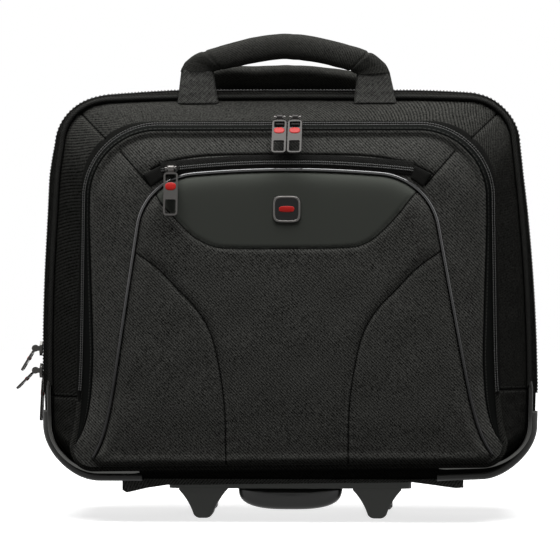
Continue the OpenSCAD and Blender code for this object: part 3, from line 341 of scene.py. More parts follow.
def solid(name, rings, finish, body, stands_for=(), closed=False, flat=False, values=None, cut=()):
    """Closed skin through rings of points (ring, point, xyz). Open ends are capped with one face each.

    The map "cloth" holds real metres: along the rings and round them, or x and z where flat. cut lists spaces
    to take out."""
    rings = np.asarray(rings, float)
    r, n = rings.shape[:2]
    points = rings.reshape(-1, 3)
    i = np.arange(r if closed else r - 1)[:, None]
    j = np.arange(n)[None]
    corners = [(i, j), (i, j + 1), (i + 1, j + 1), (i + 1, j)]
    quads = np.stack([(a % r) * n + b % n for a, b in corners], -1).reshape(-1, 4)
    if flat:
        corner_uv = points[quads][..., [0, 2]] / 1000
    else:
        wide = np.concatenate([rings, rings[:1]]) if closed else rings
        full = np.concatenate([rings, rings[:, :1]], 1)
        u = np.concatenate([[0], np.cumsum(np.linalg.norm(np.diff(wide, axis=0), axis=2).mean(1))]) / 1000
        v = np.concatenate([[0], np.cumsum(np.linalg.norm(np.diff(full, axis=1), axis=2).mean(0))]) / 1000
        size = (len(i), n)
        pairs = [np.stack([np.broadcast_to(u[a], size), np.broadcast_to(v[b], size)], -1) for a, b in corners]
        corner_uv = np.stack(pairs, 2).reshape(-1, 4, 2)
    caps = [] if closed else [np.arange(n)[::-1], (r - 1) * n + np.arange(n)]
    a, b, c, d = (points[quads[:, k]] for k in range(4))
    volume = np.einsum("ij,ij->", a, np.cross(b, c)) + np.einsum("ij,ij->", a, np.cross(c, d))
    for cap in caps:
        q = points[cap]
        volume += np.einsum("ij,ij->", np.broadcast_to(q[0], (n - 2, 3)), np.cross(q[1:-1], q[2:]))
    if volume < 0:
        quads, corner_uv = quads[:, ::-1], corner_uv[:, ::-1]
        caps = [cap[::-1] for cap in caps]
    me = bpy.data.meshes.new(name)
    me.from_pydata((points / 1000 + ORIGIN).tolist(), [], quads.tolist() + [cap.tolist() for cap in caps])
    loops = np.zeros((len(me.loops), 2))
    loops[: quads.size] = corner_uv.reshape(-1, 2)
    me.uv_layers.new(name="cloth").data.foreach_set("uv", loops.ravel())
    me.polygons.foreach_set("use_smooth", np.ones(len(me.polygons), bool))
    for key, value in (values or {}).items():
        me.attributes.new(key, "FLOAT", "POINT").data.foreach_set("value", np.asarray(value, float).ravel())
    me.update()
    obj = bpy.data.objects.new(name, me)
    bpy.context.scene.collection.objects.link(obj)
    me.materials.append(finish)
    cut_away(obj, cut)
    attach(obj, body)
    if stands_for:
        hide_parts(*stands_for)
    return obj


def scaled(ring, shares, z_mid):
    """Copies of a ring drawn in towards x = 0 and a middle height, by each share."""
    out = np.repeat(ring[None], len(shares), 0)
    out[..., 0] *= shares[:, None]
    out[..., 2] = z_mid + (out[..., 2] - z_mid) * shares[:, None]
    return out


def sweep(path, profile):
    """Rings of a profile of (out, y) pairs set along a path. There may be one profile for each point."""
    p, n = path
    q = np.broadcast_to(profile, (len(p), *np.shape(profile)[-2:]))
    x, z = (p[:, None, k] + q[..., 0] * n[:, None, k] for k in range(2))
    return np.stack([x, q[..., 1], z], -1)


def round_profile(out, y, r, sides=14):
    """Round profile of (out, y) pairs, or one for each of several radii."""
    a = -2 * math.pi * np.arange(sides) / sides
    r = np.asarray(r)[..., None]
    return np.stack([out + r * np.cos(a), y + r * np.sin(a)], -1)


def coil(path, out, y, r, pitch):
    """Ribbed cord: a round profile whose radius rises and falls once in each pitch along the path."""
    steps = 5
    path = evenly(path, pitch / steps)
    swell = r * (0.65 + 0.35 * np.cos(2 * math.pi * np.arange(len(path[0])) / steps))
    return sweep(path, round_profile(out, y, swell, 8))


def ribbon(out, y0, y1, t, bevel=0.25):
    """Profile of a flat tape from y0 to y1, t thick, with soft edges."""
    b = math.copysign(bevel, y1 - y0)
    top = out + t
    return [(out, y0), (top - bevel, y0), (top, y0 + b), (top, y1 - b), (top - bevel, y1), (out, y1)]


def cut_away(obj, cutters):
    """Takes closed shapes out of obj, one after another. Each is a box, or a cylinder that lies along x."""
    for kind, values in cutters:
        if kind == "box":
            lo, hi = (np.array(v) for v in values)
            bpy.ops.mesh.primitive_cube_add(size=1)
            middle, shape = (lo + hi) / 2, Matrix.Diagonal((*((hi - lo) / 1000), 1))
        else:
            x0, x1, y, z, r = values
            bpy.ops.mesh.primitive_cylinder_add(vertices=96, radius=r / 1000, depth=(x1 - x0) / 1000)
            middle, shape = np.array([(x0 + x1) / 2, y, z]), Matrix.Rotation(math.pi / 2, 4, "Y")
        cutter = bpy.context.object
        cutter.matrix_world = Matrix.Translation(Vector(middle / 1000 + ORIGIN)) @ shape
        change = obj.modifiers.new("cut", "BOOLEAN")
        change.operation, change.solver, change.object = "DIFFERENCE", "EXACT", cutter
        bpy.context.view_layer.update()
        done = bpy.data.meshes.new_from_object(obj.evaluated_get(bpy.context.evaluated_depsgraph_get()))
        obj.modifiers.clear()
        obj.data = done
        bpy.data.objects.remove(cutter)


# materials


def linear(code):
    """sRGB hex to linear colour."""
    c = [int(code[k : k + 2], 16) / 255 for k in (1, 3, 5)]
    return [x / 12.92 if x <= 0.04045 else ((x + 0.055) / 1.055) ** 2.4 for x in c] + [1]


def node(tree, kind, inputs=None, **settings):
    """Adds a node, sets it and feeds its inputs from values or sockets. Returns its first output in use."""
    n = tree.nodes.new(kind)
    for key, value in settings.items():
        setattr(n, key, value)
    for key, value in (inputs or {}).items():
        by_name = (i for i in n.inputs if i.enabled and i.name == key)
        socket = n.inputs[key] if isinstance(key, int) else next(by_name)
        if isinstance(value, bpy.types.NodeSocket):
            tree.links.new(value, socket)
        else:
            socket.default_value = value
    return next(o for o in n.outputs if o.enabled)


def maths(tree, operation, *values):
    """Maths node on values or sockets."""
    return node(tree, "ShaderNodeMath", dict(enumerate(values)), operation=operation)


def spread(tree, value, start, end, low=0, high=1):
    """Value that goes from low to high as another goes from start to end, and stays there beyond."""
    ends = {"From Min": start, "From Max": end, "To Min": low, "To Max": high}
    return node(tree, "ShaderNodeMapRange", {"Value": value, **ends})


def material(name, colour, rough, metal=0, coat=0, gloss=0.5):
    """Plain principled material. Returns it with its tree and shader."""
    m = bpy.data.materials.new(name)
    m.use_nodes = True
    shader = m.node_tree.nodes["Principled BSDF"]
    shader.inputs["Base Color"].default_value = linear(colour)
    shader.inputs["Roughness"].default_value = rough
    shader.inputs["Metallic"].default_value = metal
    shader.inputs["Coat Weight"].default_value = coat
    shader.inputs["Specular IOR Level"].default_value = gloss
    return m, m.node_tree, shader


def fading(name, colour, rough, fades, **more):
    """Plain material in which values or colours change between two heights, in millimetres."""
    m, tree, shader = material(name, colour, rough, **more)
    place = node(tree, "ShaderNodeTexCoord").node.outputs["Object"]
    height = node(tree, "ShaderNodeSeparateXYZ", {0: place}).node.outputs["Z"]
    for key, (z0, z1, foot, head) in fades.items():
        share = spread(tree, height, z0 / 1000, z1 / 1000)
        if isinstance(foot, str):
            ends = {"Factor": share, "A": linear(foot), "B": linear(head)}
            level = node(tree, "ShaderNodeMix", ends, data_type="RGBA")
        else:
            level = spread(tree, share, 0, 1, foot, head)
        tree.links.new(level, shader.inputs[key])
    return m


def grained(name, colour, rough, size, depth, **more):
    """Moulded or coated surface: fine noise of a real size raises its face by depth, both in millimetres."""
    m, tree, shader = material(name, colour, rough, **more)
    place = node(tree, "ShaderNodeTexCoord").node.outputs["Object"]
    grain = node(tree, "ShaderNodeTexNoise", {"Vector": place, "Scale": 1000 / size, "Detail": 3.0})
    bump = node(tree, "ShaderNodeBump", {"Height": grain, "Distance": depth / 1000, "Strength": 1.0})
    tree.links.new(bump, shader.inputs["Normal"])
    return m


# Stitches in millimetres: length with the gap, share of that, distance from the seam, half width
STITCH_PITCH, STITCH_SHARE, STITCH_GAP, STITCH_HALF = 3.4, 0.66, 2.3, 0.45


def fabric(name, dark, light, pitch, rough=0.8, depth=0.12, slant=0.6, second=None, seams=(), dim=None):
    """Woven cloth: slanted ribs and single threads, as sines of the cloth map, light and raise its face.

    second is (point value, colour, roughness) of a smooth cloth, shown where that value is above 0. A seam is
    a dark sunk line with a row of stitches on either side. dim is (point value, share): painted shade, the
    cloth darkened by that share as the value goes from 0 to 1."""
    m, tree, shader = material(name, light, rough, gloss=0)

    def calc(operation, *values):
        return maths(tree, operation, *values)

    def point(key):
        return node(tree, "ShaderNodeAttribute", attribute_name=key).node.outputs["Fac"]

    def mixed(factor, a, b):
        return node(tree, "ShaderNodeMix", {"Factor": factor, "A": a, "B": b}, data_type="RGBA")

    place = node(tree, "ShaderNodeUVMap", uv_map="cloth")
    axes = node(tree, "ShaderNodeSeparateXYZ", {0: place}).node
    slope = 1000 * math.pi * math.sqrt(2) / pitch
    rise = calc("MULTIPLY", calc("ADD", axes.outputs["X"], axes.outputs["Y"]), slope / 2)
    fall = calc("MULTIPLY", calc("SUBTRACT", axes.outputs["X"], axes.outputs["Y"]), slope)
    rib = calc("MULTIPLY", calc("SINE", rise), slant)
    height = calc("MULTIPLY_ADD", calc("SINE", fall), 1 - slant, rib)
    space = node(tree, "ShaderNodeTexCoord").node.outputs["Object"]
    speck = node(tree, "ShaderNodeTexNoise", {"Vector": space, "Scale": 700 / pitch, "Detail": 1.0})
    share = calc("MULTIPLY_ADD", height, 0.38, calc("MULTIPLY_ADD", speck, 1.1, -0.05))
    colour = mixed(share, linear(dark), linear(light))
    # Painted shade: dim mixes the cloth's colour towards black
    if dim:
        colour = mixed(spread(tree, point(dim[0]), 0, 1, 0, dim[1]), colour, linear("#000000"))
    if second:
        key, smooth, sheen = second
        on = spread(tree, point(key), -0.2, 0.2)
        colour = mixed(on, colour, linear(smooth))
        grain = node(tree, "ShaderNodeTexNoise", {"Vector": space, "Scale": 900, "Detail": 2.0})
        height = calc("MULTIPLY", height, calc("SUBTRACT", 1, on))
        height = calc("MULTIPLY_ADD", calc("MULTIPLY", grain, on), 0.35, height)
        tree.links.new(spread(tree, on, 0, 1, rough, sheen), shader.inputs["Roughness"])
    for key in seams:
        gap, run = calc("ABSOLUTE", point(key)), point(key + "_run")
        on = calc("COMPARE", run, LENGTHS[key] / 2, LENGTHS[key] / 2)
        line = calc("MULTIPLY", spread(tree, gap, 0.3, 1.1, 1, 0), on)
        beat = calc("LESS_THAN", calc("FRACT", calc("MULTIPLY", run, 1 / STITCH_PITCH)), STITCH_SHARE)
        dash = calc("MULTIPLY", calc("COMPARE", gap, STITCH_GAP, STITCH_HALF), calc("MULTIPLY", beat, on))
        colour = mixed(calc("MULTIPLY", line, 0.85), colour, linear("#050505"))
        colour = mixed(calc("MULTIPLY", dash, 0.4), colour, linear("#474745"))
        height = calc("MULTIPLY_ADD", line, -2, calc("ADD", height, dash))
    tree.links.new(colour, shader.inputs["Base Color"])
    bump = node(tree, "ShaderNodeBump", {"Height": height, "Distance": depth / 1000, "Strength": 0.8})
    tree.links.new(bump, shader.inputs["Normal"])
    return m


# Ballistic nylon: charcoal twill with a coarse rib. The wall's has painted shade, darker down its sides;
# the flap has a smooth rim, and the pocket a smooth yoke.
BLACK_YARN, TWILL_PITCH = "#020202", 1.05
TWILL = (BLACK_YARN, "#555552", TWILL_PITCH)
NYLON = fabric("ballistic_nylon", *TWILL)
# The wall's cloth gets painted shade from the point value deep
WALL_CLOTH = fabric("wall_nylon", BLACK_YARN, "#454542", TWILL_PITCH, second=("tape", "#1c1c1b", 0.6),
                    seams=("corner", "end"), dim=("deep", 0.47))
FLAP_CLOTH = fabric("flap_nylon", *TWILL, second=("rim", "#161716", 0.6), seams=("facing", "mitre", "rim"))
POCKET_CLOTH = fabric("pocket_nylon", BLACK_YARN, "#51514e", TWILL_PITCH, second=("yoke", "#3f413d", 0.5),
                      seams=("yoke", "curve"))
# Edge cloth: darker twill on the lid's rolled edge
EDGE = fabric("edge_nylon", BLACK_YARN, "#2c2c2a", TWILL_PITCH)
# Strip cloth: nylon under the case, made paler as painted light, for light that its shade keeps off
STRIP = fabric("strip_nylon", "#1c1c1b", "#7c7c78", TWILL_PITCH)
# Webbing: lighter rib
WEBBING = fabric("nylon_webbing", "#1f1f1e", "#5e5e5b", 1.4, slant=0.3)
# Sleeve cloth: fine plain weave round the carry handles' padding
SLEEVE = fabric("sleeve_cloth", "#1a1a19", "#42423f", 0.9, 0.85, 0.08, 0.5)
# Zip tape: fine plain weave
TAPE = fabric("zip_tape", "#111110", "#2a2a29", 0.8, 0.7, 0.05, 0.5)
# Lining: thin plain cloth
LINING = fabric("lining_cloth", "#1b1b1a", "#30302f", 0.7, 0.75, 0.05, 0.5)
# Facing cloth: smooth and matt, for the tabs at the ends of the pocket's zip
FACING = fabric("facing_cloth", "#161615", "#242423", 0.7, 0.8, 0.04, 0.5)
# Piping: cloth-covered round the case, and patent round the pocket, glossier towards its top
PIPING = fabric("piping_cloth", "#0f0f0f", "#383836", 0.9)
BRIGHT = fading("patent_piping", "#191919", 0.2,
                {"Coat Weight": (120, 290, 0.1, 1), "Specular IOR Level": (120, 290, 0.15, 0.5)})
# Guards over the corners: a metallised bead, paler along the bottom as a painted highlight, and a matt band
GUARD = fading("glossy_guard", "#545452", 0.16, {"Base Color": (60, 95, "#5a5a58", "#2b2b2a")}, metal=1)
BAND = grained("matt_guard_band", "#2a2a28", 0.5, 0.8, 0.02, gloss=0.3)
# Mouldings: handle and brackets, base tray, and the polished grab lip. The base tray is paler than the other
# mouldings as painted light, for light that the floor throws up under the case
MOULD = grained("moulded_plastic", "#2b2c2a", 0.5, 0.7, 0.03)
BASE = grained("base_plastic", "#50514e", 0.55, 0.7, 0.03)
LIP = grained("polished_lip_plastic", "#20211f", 0.3, 0.7, 0.01)
# Feet and tyres: rubber, the feet paler than the tyres as painted light, for light that the floor throws up
# under the case; hubs and button: plastic
RUBBER = grained("foot_rubber", "#5a5b58", 0.6, 0.9, 0.03)
TYRE = grained("tyre_rubber", "#1a1a1a", 0.7, 0.8, 0.03)
HUB = grained("hub_plastic", "#3a3a3a", 0.45, 0.8, 0.02)
# Zip coil: nylon filament
COIL = material("zip_coil", "#2b2b29", 0.4)[0]
# Plated zinc: gunmetal, chrome and nickel for pulls, sliders and badge rim
GUNMETAL = material("gunmetal_plating", "#2e2d2c", 0.38, 1)[0]
CHROME = material("bright_chrome", "#4c4b49", 0.18, 1)[0]
NICKEL = material("satin_nickel", "#5c5a58", 0.33, 1)[0]
# Axles and screws: steel; tubes: anodised aluminium
STEEL = material("brushed_steel", "#b9b9b9", 0.35, 1)[0]
TUBE = material("anodised_tube", "#c2c2c4", 0.3, 1)[0]
# Red enamel on badge and pulls, black lacquer on the badge's plate
ENAMEL = material("red_enamel", "#a3130d", 0.45, gloss=0.25)[0]
BLACK = material("black_lacquer", "#0b0b0b", 0.15, coat=0.5)[0]
# Board: the stiff sheet in the lining
BOARD = grained("board_sheet", "#2c2c2c", 0.6, 1.5, 0.02)

# soft pieces of the main compartment

# Room for the wheels, as ends along x, axle's y and z, and radius, and for the pull handle's cup
WHEEL_X, WELL_HALF = 82.5, 15.3
WELLS = [("cylinder", (s * WHEEL_X - WELL_HALF, s * WHEEL_X + WELL_HALF, 54, 25, 30.3)) for s in (-1, 1)]
CUP = [("box", ((-75, 21, 355), (75, 53.7, 400)))]
# Heights towards which faces are drawn in
CASE_MIDDLE, DIVIDER_MIDDLE, FLAP_MIDDLE, POCKET_MIDDLE = 212, 190, 200, 180.0

case_path = whole(CASE)


def gusset():
    """Wall round the case: a profile with two puffed panels between the zips, set along the outline.

    A panel's puff is the root of a sine across it, and a soft ripple goes over both panels."""
    puff_size, ripple_size, step = 1.1, 0.5, 3.5
    panels = ((-49.5, -2), (10, Y_REAR))
    spans = ((Y_ZIP, -49.5, 5), (-48, -4, 16), (-3, 11, 7), (12, Y_REAR, 16))
    y = np.concatenate([np.linspace(*span) for span in spans])
    puff = sum(np.sqrt(np.sin(math.pi * ramp(y, *panel)).clip(0)) for panel in panels)
    inner_y = np.linspace(Y_REAR, Y_ZIP, 12)
    out = np.concatenate([SWELL + puff_size * puff - 0.15, np.full(len(inner_y), SWELL - WALL)])
    rings = np.stack([soft_ring(case_path, o, d) for o, d in zip(out, np.concatenate([y, inner_y]))], 1)
    along = np.arange(len(rings))[:, None] * step
    rise = ripple_size * ripple(along, y[None], 45, 1) * np.sqrt(puff)[None]
    rings[:, : len(y), [0, 2]] += rise[..., None] * case_path[1][:, None]
    solid("gusset_cloth", rings, NYLON, "chassis", ["main_gusset"], closed=True, cut=WELLS + CUP)


def plate(name, edge, bulge, body, stands_for, finish, cut=()):
    """Padded plate: from a small ring in the front's middle, over the edge rings, to one in the back's.

    The back bulges by a cosine quarter wave of the share of the way out."""
    shares = np.linspace(0.015, 1, 26)[:-1]
    front, rear = (scaled(ring, shares, CASE_MIDDLE) for ring in (edge[0], edge[-1]))
    rear[..., 1] += bulge * np.cos(shares * math.pi / 2)[:, None]
    solid(name, [*front, *edge, *rear[::-1]], finish, body, stands_for, flat=True, cut=cut)


def lid():
    """Lid: a padded plate whose edge rolls back to the main zip, hollow behind."""
    rows = ((-6, 0), (-1, 0), (3, 0), (4.6, 0.2), (6.3, 1.1), (7.6, 2.6), (8.35, 4.4), (8.7, 6.4), (8.6, 9),
            (8.4, 11.5), (8, 11.7), (3.8, 11.7), (3.5, 11.2), (3.5, 5), (2.5, 4))
    edge = [soft_ring(case_path, d, Y_LID + y) for d, y in rows]
    plate("lid_cloth", edge, 0.8, "lid", ["lid_panel"], EDGE)


def back():
    """Back panel: a padded plate with a rolled edge."""
    rows = ((3, 0.3), (8, 0.3), (8.5, 0.8), (8.3, 2.2), (7.4, 3.6), (6, 4.6), (4.5, 5), (2.5, 5), (-1.5, 5.1))
    edge = [soft_ring(case_path, d, Y_REAR + y) for d, y in rows]
    plate("back_cloth", edge, 2.2, "chassis", ["back_panel"], NYLON, WELLS)


def divider():
    """Laptop divider: padded board with a straight top, drawn in towards the middle of both faces."""
    border = ring_at(case_path, 3.2, 0)
    border[:, 2] = np.minimum(border[:, 2], 334)
    shares = np.array([0.015, 0.4, 0.8, 0.97, 0.995, 1, 0.995, 0.97, 0.8, 0.4, 0.015])
    rings = scaled(border, shares, DIVIDER_MIDDLE)
    rings[..., 1] = np.array([-12.4, -12.3, -12, -11.4, -10, -8.5, -7, -5.6, -5, -4.7, -4.6])[:, None]
    solid("laptop_divider_pad", rings, LINING, "chassis", ["laptop_divider"], flat=True)


gusset()
lid()
back()
divider()

# organizer and pocket


def organizer_wall():
    """Organizer's wall: a straight slope from the lid's edge to the rim, puffed out by a sine, with seams."""
    # Share of the slope that the cloth covers, where its tape begins, and how much higher the right end lies
    reach, tape_from, end_step = 0.79, 0.765, 7.0
    puff_rise, ripple_rise, pucker = 1.6, 0.7, 0.9
    n = case_path[1]
    under = np.clip(-2 * n[:, 1], 0, 1)
    root = ring_at(piped(case_path), 0.2 - under, Y_LID - 0.2)
    edge = whole(grown(ORGANIZER, 6))
    rim = skewed(ring_at(edge, 0, Y_WALL))
    normal = np.stack([n[:, 0], np.full(len(root), -0.9), n[:, 1]], 1)
    normal /= np.linalg.norm(normal, axis=1)[:, None]
    t = np.linspace(0, reach, 40)[:, None]
    front = root + (rim - root) * t[..., None]
    x, z = np.abs(front[..., 0]), front[..., 2]
    values = seam_values(corner=(x, z), end=(x, z - end_step * (front[..., 0] > 0)))
    end = values["end"]
    # deep drives painted shade: the wall's cloth darkens from z 352 down to z 304
    values |= {"tape": np.minimum((t - tape_from) * 38, -end), "deep": ramp(z, 352, 304)}
    puff = np.sin(math.pi * t / reach).clip(0) ** 0.7 * (1 - 0.85 * under)
    lift = puff * (puff_rise + ripple_rise * ripple(front[..., 0], z, 40, 3))
    lift += pucker * ripple(x + z, x - z, 17, 4) * puff * ramp(end, 0, 12)
    lift -= 1.5 * dent(values, "corner", 2.2) + 0.5 * dent(values, "end", 2.2)
    front += normal * lift[..., None]
    rows = ((5, -92.6), (3.6, -93), (-1, -92.4), (-2.5, -91))
    turn = [skewed(ring_at(edge, d, y)) for d, y in rows]
    far = ring_at(piped(case_path), -3, Y_LID - 0.2)
    turn += [turn[3] + (far - turn[3]) * k for k in (0.25, 0.5, 0.75, 1)]
    rest = np.full((len(turn), len(root)), NO_SEAM)
    values = {k: np.concatenate([v, rest]) for k, v in values.items()}
    values["tape"][len(front) : len(front) + 2] = np.where(end[-1] < 0, 9, -9)
    solid("organizer_wall_cloth", [*front, *turn], WALL_CLOTH, "lid", ["organizer_wall_band"],
          closed=True, values=values)


def flap():
    """Organizer flap: a face rolled over a rim, raised by a soft ripple and sunk at its seams and edge."""
    base = ring_at(whole(grown(ORGANIZER, -3)), 0, Y_FACE)
    shares = [np.linspace(0.015, 0.5, 14), np.linspace(0.52, 0.7, 30), np.linspace(0.7, 1, 130)[1:-1]]
    face = scaled(base, np.concatenate(shares), FLAP_MIDDLE)
    x, z = face[..., 0], face[..., 2]
    distance = np.linalg.norm(face - base[None], axis=2)
    values = seam_values(facing=(x, z), mitre=(np.abs(x), z))
    roll_depth, roll_width, ripple_rise = 7.2, 26, 0.5
    roll = roll_depth * ramp(distance, roll_width, 0) ** 1.4 * ramp(z, 70, 130)
    lift = ripple_rise * ripple(x, z, 42, 5)
    lift -= 1.2 * dent(values, "mitre", 2.2) + 1.3 * dent(values, "facing", 1.6)
    face[..., 1] += roll - lift
    # Rim: growth of the outline, depth, and distance past the rim's seam
    rows = [(-1.4, -103.2, 0.2), (0.4, -104.2, 2.2), (2.4, -104.4, 4.2), (4.4, -103.8, 6.4),
            (6.2, -102.4, 8.8), (7.4, -100.4, 11), (8.1, -98.2, 13), (8.2, -96.8, 14), (7.6, -96.2, 15),
            (4, -96.4, 18)]
    turn = [ring_at(whole(grown(ORGANIZER, d)), 0, y) for d, y, _ in rows]
    back = ring_at(whole(ORGANIZER), -16, Y_FACE + 4.6)
    close = [ring_at(whole(ORGANIZER), -1, Y_RIM + 2), back]
    close += list(scaled(back, np.array([0.8, 0.5, 0.2, 0.015]), FLAP_MIDDLE))
    past = np.array([gap for _, _, gap in rows] + [NO_SEAM] * len(close))[:, None]
    rim = np.concatenate([-1.6 - distance, np.broadcast_to(past, (len(past), len(base)))])
    rim -= 5.3 * ramp(base[:, 2], 150, 270)
    spare = np.full((len(past), len(base)), NO_SEAM)
    values = {k: np.concatenate([v, spare]) for k, v in values.items()}
    values |= {"rim": rim, "rim_run": np.broadcast_to(np.arange(len(base)) * 3, rim.shape)}
    solid("organizer_flap_cloth", skewed([*face, *turn, *close]), FLAP_CLOTH, "flap",
          ["organizer_flap", "organizer_rim"], flat=True, values=values)


def drawn_in(points):
    """The pocket hangs askew with the organizer, and its left edge comes in, most at the foot."""
    most, half_w = 9.0, 181
    points = skewed(points)
    x, z = points[..., 0], points[..., 2]
    points[..., 0] = x + most * ramp(z, 290, 55) * ramp(-x, 0, half_w)
    return points


def pocket():
    """Front pocket: rings set in from its edge, then shrinking to the middle.

    It stands out by an exponential of the distance to its edge and a low dome, less its seams, plus a soft
    ripple, and leans back towards its foot by a square."""
    border, stand, dome_rise, panel_rise, ripple_rise, foot_lean = 20.0, 8.0, 1.2, 0.7, 0.6, 2.6
    insets = np.concatenate([[0, 0.4, 0.9, 1.5], np.linspace(2.2, border, 18)])
    rows = np.array([ring_at(whole(shrunk(POCKET, d)), 0, 0) for d in insets])
    base = rows[-1]
    inner = scaled(base, np.linspace(1, 0.012, 150)[1:], POCKET_MIDDLE)
    face = drawn_in(np.concatenate([rows, inner]))
    near = np.broadcast_to(insets[:, None], rows.shape[:2])
    depth = np.concatenate([near, border + np.linalg.norm(inner - base[None], axis=2)])
    x, z = face[..., 0], face[..., 2]
    values = seam_values(yoke=(x, z), curve=(np.abs(x), z))
    yoke = values["yoke"]
    dome = dome_rise * ramp(depth, 0, 60) * ramp(z, 250, 190)
    dome += panel_rise * ramp(-values["curve"], 0, 9) * (yoke < 0)
    soft = ripple_rise * ripple(x, z, 48, 7) * ramp(-yoke, 0, 20)
    dents = 1.2 * dent(values, "curve", 2.4) + dent(values, "yoke", 2.2)
    rise = stand * (1 - np.exp(-depth / 4.4)) + (dome + soft - dents) * ramp(depth, 0, 10)
    lean = foot_lean * ramp(z, 165, 65) ** 2 * ramp(depth, 0, border)
    face[..., 1] = Y_FACE - rise + lean
    edge = ring_at(whole(shrunk(POCKET, 14)), 0, 0)
    back = drawn_in(scaled(edge, np.array([0.012, 0.5, 0.97, 1, 1]), POCKET_MIDDLE))
    back[..., 1] = np.array([-114.2, -114.2, -113.4, -112.8, -110.6])[:, None]
    spare = np.full(back.shape[:2], NO_SEAM)
    values = {k: np.concatenate([spare, v]) for k, v in values.items()}
    solid("front_pocket_cloth", [*back, *face], POCKET_CLOTH, "flap", ["front_pocket"], flat=True,
          values=values)


organizer_wall()
flap()
pocket()

# piping, guards and zips


def piping():
    """Round cords: along the lid's edge, the back's edge and the pocket's edge."""
    front = sweep(piped(case_path), round_profile(2.6, Y_LID - 2.2, 2.2))
    solid("front_piping_cord", front, PIPING, "lid", ["front_piping"], closed=True)
    rear = sweep(eased(case_path, PIPED_SHARE), round_profile(1, Y_BACK + 2.2, 2.2))
    solid("rear_piping_cord", rear, PIPING, "chassis", ["rear_piping"], closed=True, cut=WELLS)
    arch = drawn_in(sweep(over_top(POCKET, 0), round_profile(1.7, Y_FACE - 1.6, 1.6)))
    solid("pocket_piping_cord", arch, BRIGHT, "flap", ["pocket_piping"])


def guards():
    """Corner guards: a rounded bead over the piping, and a band that wraps the lid's edge beside it."""
    start, bead_end, band_end = 133, 0.155, 0.041
    out, r = 3.1, 2.6
    a = np.radians(np.linspace(-62, 200, 14))
    bead = [(0.8, 0.3), (5.6, 0.3)] + [(out + r * math.cos(t), -2.5 - r * math.sin(t)) for t in a]
    band = [(4.2, 0.6), (4.3, -1.5), (6.6, -1.6), (8.6, -0.4), (9.9, 1.8), (10.7, 4.2), (10.7, 9),
            (10.3, 9.9), (8.6, 10), (8.5, 5), (6.9, 2)]
    bead, band = (np.array(profile) + np.array([0, Y_LID]) for profile in (bead, band))
    for side, tag in ((1, "right"), (-1, "left")):
        foot = lambda end: [v * np.array([side, 1]) for v in round_foot(CASE, start, end)]
        rows = sweep(evenly(piped(foot(bead_end)), 2), bead)
        step = np.arange(len(rows))
        share = np.sqrt(np.clip((np.minimum(step, step[::-1]) + 0.5) / 4, 0, 1))[:, None, None]
        mid = rows.mean(1, keepdims=True)
        solid(f"corner_bead_{tag}", mid + share * (rows - mid), GUARD, "lid", ["corner_beads"])
        rows = sweep(evenly(eased(foot(band_end)), 2), band)
        solid(f"corner_band_{tag}", rows, BAND, "lid", ["corner_bands"])


# Side zips: edge where a half begins, its direction, body and node, and the radius and pitch of its coil and
# the thickness of its tape
ZIP_WIDTH = 6.0
BIG_COIL, SMALL_COIL = (1.25, 3, 1.3), (0.75, 2, 0.4)
ZIP_HALVES = {
    "main_zip_front": (Y_ZIP - 0.3, -1, "lid", "main_zip_front", BIG_COIL),
    "main_zip_rear": (Y_ZIP, 1, "chassis", "main_zip_rear", BIG_COIL),
    "laptop_zip_front": (3.85, -1, "chassis", "laptop_zip", SMALL_COIL),
    "laptop_zip_back": (4.15, 1, "chassis", "laptop_zip", SMALL_COIL),
}


def side_zips():
    """Halves of the zips round the case: a tape, and a ribbed coil along the edge where the halves part."""
    path = eased(over_top(CASE, 0.105))
    for name, (edge, toward, body, stands_for, (r, pitch, thick)) in ZIP_HALVES.items():
        tape = ribbon(SWELL - 0.1, edge + toward * 0.1, edge + toward * ZIP_WIDTH, thick)
        solid(name + "_tape", sweep(path, tape), TAPE, body, [stands_for])
        rows = coil(path, SWELL + thick, edge + toward * (r + 0.1), r, pitch)
        solid(name + "_coil", rows, COIL, body)


def organizer_zip():
    """Organizer zip: two ribbed coils, one on the wall's edge and one on the rim."""
    for half, out, y, body in (("outer", 10.6, -94.2, "lid"), ("inner", 8.6, -97.4, "flap")):
        rows = coil(over_top(ORGANIZER, 0.22), out, y, 0.7, 2.1)
        solid(f"organizer_zip_{half}_coil", rows, COIL, body, [f"organizer_zip_{half}"])


def stacked(border, middle, rows):
    """Rings of a border in x and z, drawn in towards a middle by each share and set at each depth."""
    drawn = [(middle + (border - middle) * share, y) for share, y in rows]
    return [np.stack([q[:, 0], np.full(len(q), y), q[:, 1]], 1) for q, y in drawn]


# Tabs over the ends of the pocket's zip: corners in x and z
ZIP_TABS = {
    "left": [(-128.5, 309.3), (-112.6, 317.2), (-108.9, 306.9), (-121, 298.6)],
    "right": [(128.5, 309.6), (112, 317.6), (109.4, 305.9), (120.3, 298.2)],
}


